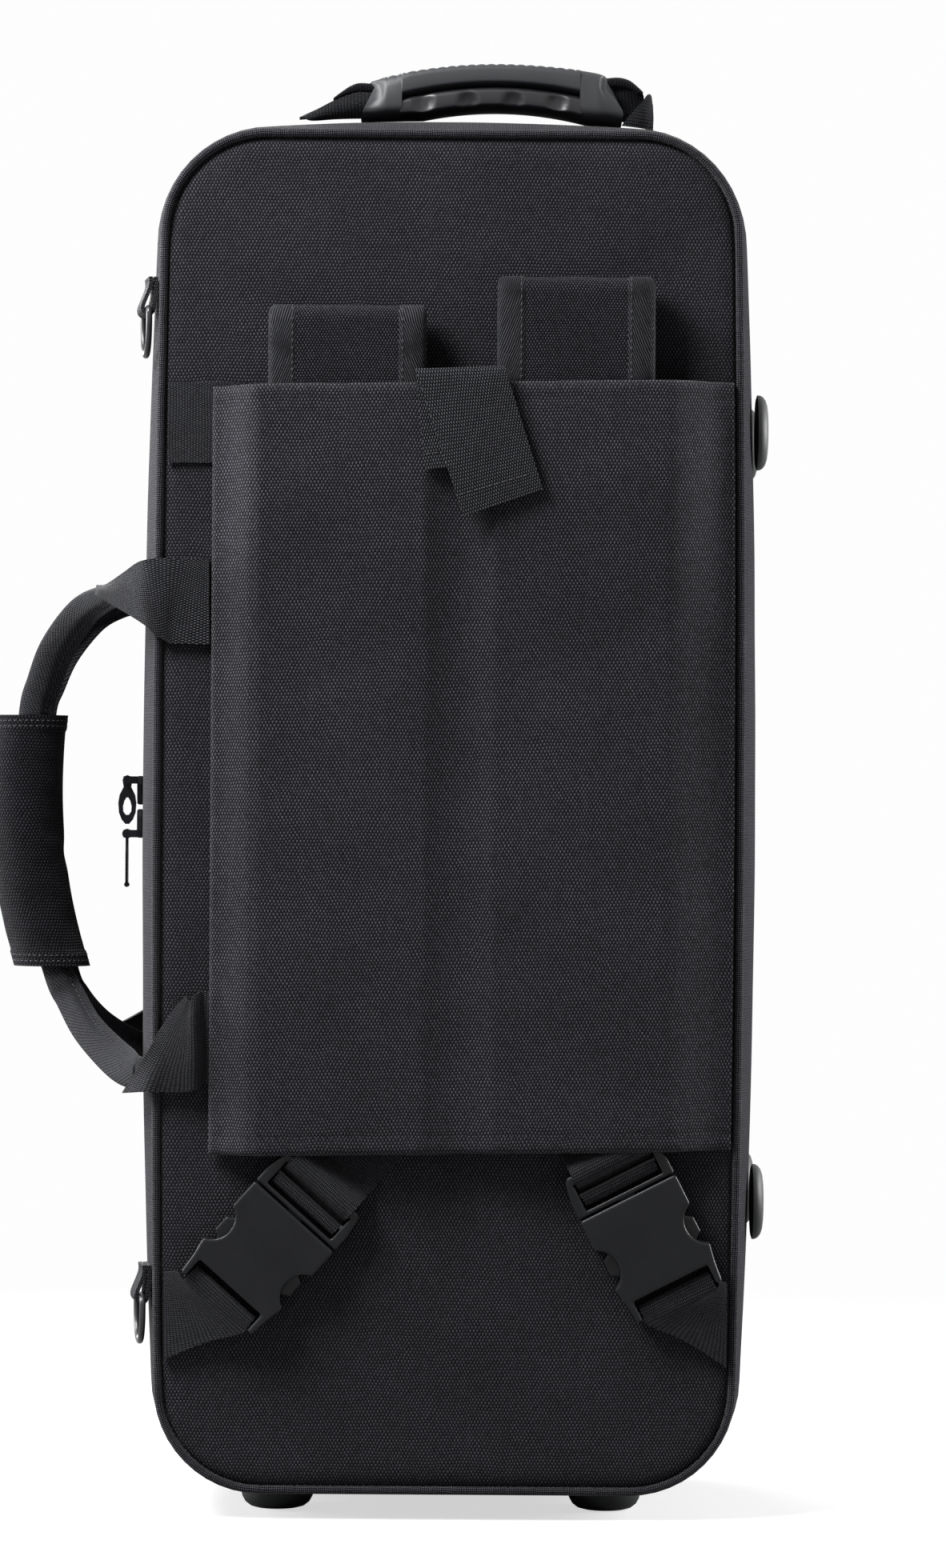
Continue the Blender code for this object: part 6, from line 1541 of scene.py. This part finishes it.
def buildPocket():
    shape = pocketShape
    seam, front = lidDepth + shape["zipFrom"], lidDepth + shape["depth"]
    nearSide, farSide = seam - zipShape["parting"], seam + zipShape["parting"]
    start, end = nearSide - shape["tape"], farSide + shape["tape"]
    base = lidDepth + 0.4 * mm
    cloth, thin = shape["cloth"], shape["tapeThickness"]
    pocketStrip("pocketGusset", coverLook, "lid", (
        (0.3 * mm, base), (0.8 * mm, base + 3 * mm), (0.9 * mm, start - 2 * mm),
        (0.5 * mm, start)), cloth, ["pocket_gusset"])
    pocketStrip("pocketSkirt", coverLook, "pocket", (
        (0.5 * mm, end), (0.9 * mm, end + 2 * mm), (0.9 * mm, front - 5 * mm),
        (0.2 * mm, front - 2.4 * mm)), cloth)
    pocketStrip("pocketTape", tapeLook, "lid", ((0, start - 1 * mm), (0.1 * mm, nearSide)), thin)
    pocketStrip("pocketFlapTape", tapeLook, "pocket",
                ((0, end + 1 * mm), (0.1 * mm, farSide)), thin)
    for name, body, y, way in (("pocketCoil", "lid", nearSide - shape["coilIn"], 1),
                               ("pocketFlapCoil", "pocket", farSide + shape["coilIn"], -1)):
        addCoil(name, pocketLine(0.3 * mm, y), Vector((0, way, 0)), body)
    for name, body, y in (("pocketGussetStitches", "lid", start - shape["stitchIn"]),
                          ("pocketSkirtStitches", "pocket", end + shape["stitchIn"])):
        line = [(spot + out * 0.95 * mm, out) for spot, out in pocketLine(0, y)]
        addStitches(name, [line], body)

    edge = Vector((0, 1, 0))
    ring = pocketRing(0, front - shape["pipingIn"])
    middle = sum(ring, Vector()) / len(ring)
    rows = []
    for spot, along in zip(ring, headings(ring, True)):
        out = along.cross(edge)
        out = out if out.dot(spot - middle) > 0 else -out
        rows.append(circle(spot, out, edge, shape["piping"], 12))
    addTube("pocketPiping", rows, pipingLook, "pocket", smooth=180, loop=True)
    buildPad(front)


# feet
footShape = {  # share of the radius, share of the height
    "profile": ((0, 0), (0.9, 0), (1, 0.10), (1, 0.28), (0.985, 0.42), (0.95, 0.60),
                (0.87, 0.80), (0.74, 0.94), (0.58, 1.0), (0, 1.0)),
    "sides": 48,
}


def buildFeet():
    across = Vector((0, 1, 0))
    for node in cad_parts:
        if "foot" not in node:
            continue
        low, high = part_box(node)
        middle = (low + high) / 2
        radius = (high.y - low.y) / 2
        if node.startswith("side"):
            base, out = Vector((low.x, middle.y, middle.z)), Vector((1, 0, 0))
            height = high.x - low.x
        else:
            base, out = Vector((middle.x, middle.y, high.z)), Vector((0, 0, -1))
            height = high.z - low.z
        other = out.cross(across)
        rows = [circle(base + out * height * up, across, other, max(share, 0.001) * radius,
                       footShape["sides"]) for share, up in footShape["profile"]]
        name = "".join(word.title() for word in node.split("_"))
        addTube(name[0].lower() + name[1:], rows, footLook, "lid" if "lid" in node else "back_half",
                [node], smooth=40)


# camera, floor, light
cameraShape = {
    "distance": 2.5, "sensor": 36, "height": baseZ + 0.3418, "aimX": midX + 11.5 * mm,
    "imageHeight": 0.7379,  # what the picture's long side spans on the panel
    "roll": radians(0.37),
}
lightShape = {
    "world": 0.25, "seenWorld": 0.985, "floorGlow": 0.62, "floorSize": 6,
    "floorFrom": 0.35, "floorTo": 1.1,  # where the floor fades out
    "floorShade": (0.25, 0.25, 0.25), "floorSeen": (0.9, 0.9, 0.9),
    # place, aim, size, power
    "lamps": {
        "keyLight": ((-0.72, -0.62, 1.36), (0.0, -0.1, 0.42), 0.6, 38.0),
        "leftLight": ((-1.6, 0.25, 0.7), (0.0, 0.0, 0.35), 0.7, 38.0),
        "rightLight": ((1.6, 0.25, 0.7), (0.0, 0.0, 0.35), 0.7, 46.0),
        "backLight": ((-0.7, 1.9, 1.3), (0.0, 0.1, 0.35), 1.1, 44.0),
    },
}


def buildCamera(scene):
    shape = cameraShape
    camera = bpy.data.objects.new("camera", bpy.data.cameras.new("camera"))
    scene.collection.objects.link(camera)
    camera.data.sensor_width = shape["sensor"]
    camera.data.lens = shape["sensor"] * shape["distance"] / shape["imageHeight"]
    camera.data.clip_start = 0.1
    camera.data.clip_end = 50
    camera.location = (shape["aimX"], backFace - shape["distance"], shape["height"])
    camera.rotation_euler = (pi / 2, -shape["roll"], 0)
    scene.camera = camera


def buildLights(scene):
    world = bpy.data.worlds.new("studio")
    world.use_nodes = True
    tree = world.node_tree
    back = tree.nodes["Background"]
    back.inputs["Color"].default_value = (1, 1, 1, 1)
    rays = addNode(tree, "LightPath").outputs
    seen = maths(tree, "MAXIMUM", rays["Is Camera Ray"], rays["Is Transmission Ray"])
    seen = maths(tree, "MAXIMUM", seen, rays["Is Glossy Ray"])
    strength = remap(tree, seen, 0, 1, lightShape["world"], lightShape["seenWorld"])
    tree.links.new(strength, back.inputs["Strength"])
    scene.world = world
    for name, (spot, aim, size, power) in lightShape["lamps"].items():
        lamp = bpy.data.lights.new(name, "AREA")
        lamp.size = size
        lamp.energy = power
        obj = bpy.data.objects.new(name, lamp)
        scene.collection.objects.link(obj)
        obj.location = spot
        obj.rotation_euler = (Vector(aim) - Vector(spot)).to_track_quat("-Z", "Y").to_euler()


def buildFloor(scene):
    shape = lightShape
    size = shape["floorSize"]
    mesh = bpy.data.meshes.new("floor")
    corners = [(-size, -size, 0), (size, -size, 0), (size, size, 0), (-size, size, 0)]
    mesh.from_pydata(corners, [], [(0, 1, 2, 3)])
    floorPlane = bpy.data.objects.new("floor", mesh)
    scene.collection.objects.link(floorPlane)
    look, tree, shader = startLook("paleFloor", 0.9, 0.1)
    place = addNode(tree, "TexCoord").outputs["Object"]
    away = addNode(tree, "VectorMath", {0: place}, operation="LENGTH").outputs["Value"]
    clear = remap(tree, away, shape["floorFrom"], shape["floorTo"], smooth=True)
    seen = addNode(tree, "LightPath").outputs["Is Camera Ray"]
    floorColour = blendColour(tree, seen, shape["floorShade"], shape["floorSeen"])
    tree.links.new(floorColour, shader.inputs["Base Color"])
    clear = maths(tree, "MULTIPLY", clear, seen)
    glow = addNode(tree, "Emission", {"Color": (1, 1, 1, 1), "Strength": 1.0})
    share = maths(tree, "MULTIPLY", seen, shape["floorGlow"])
    lit = addNode(tree, "MixShader", {0: share, 1: shader.outputs[0], 2: glow.outputs[0]})
    bare = addNode(tree, "BsdfTransparent")
    both = addNode(tree, "MixShader", {0: clear, 1: lit.outputs[0], 2: bare.outputs[0]})
    tree.links.new(both.outputs[0], tree.nodes["Material Output"].inputs["Surface"])
    mesh.materials.append(look)


stage = bpy.context.scene
stage.view_settings.view_transform = "Standard"
buildCamera(stage)
buildLights(stage)
buildFloor(stage)
print("camera, light and floor stand")
buildPanels()
buildSides()
buildZips()
print("panels, sides, piping and zip are on")
buildInserts()
flatBand("strapAnchorBand", "strap_anchor_band")
flatBand("upperHandleAnchor", "handle_anchor_upper")
flatBand("lowerHandleAnchor", "handle_anchor_lower", 8 * mm)  # hidden by the folded webbing
buildStraps()
buildFlap()
buildTab()
print("straps, flap and tab lie on the back")
buildHandles()
buildTopHandle()
print("handles are on")
buildPocket()
print("pocket is on the lid")
buildBuckles()
buildRings()
buildFeet()
print("buckles, rings and feet are on")

nodeLooks = {
    "zip_slider_upper": sliderLook, "zip_slider_lower": sliderLook, "zip_pull_upper": sliderLook,
    "zip_pull_lower": sliderLook, "pocket_slider": sliderLook, "pocket_pull": sliderLook,
    "back_shell": foamLook, "lid_shell": foamLook,
}
for node, look in nodeLooks.items():
    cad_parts[node].material_slots[0].material = look
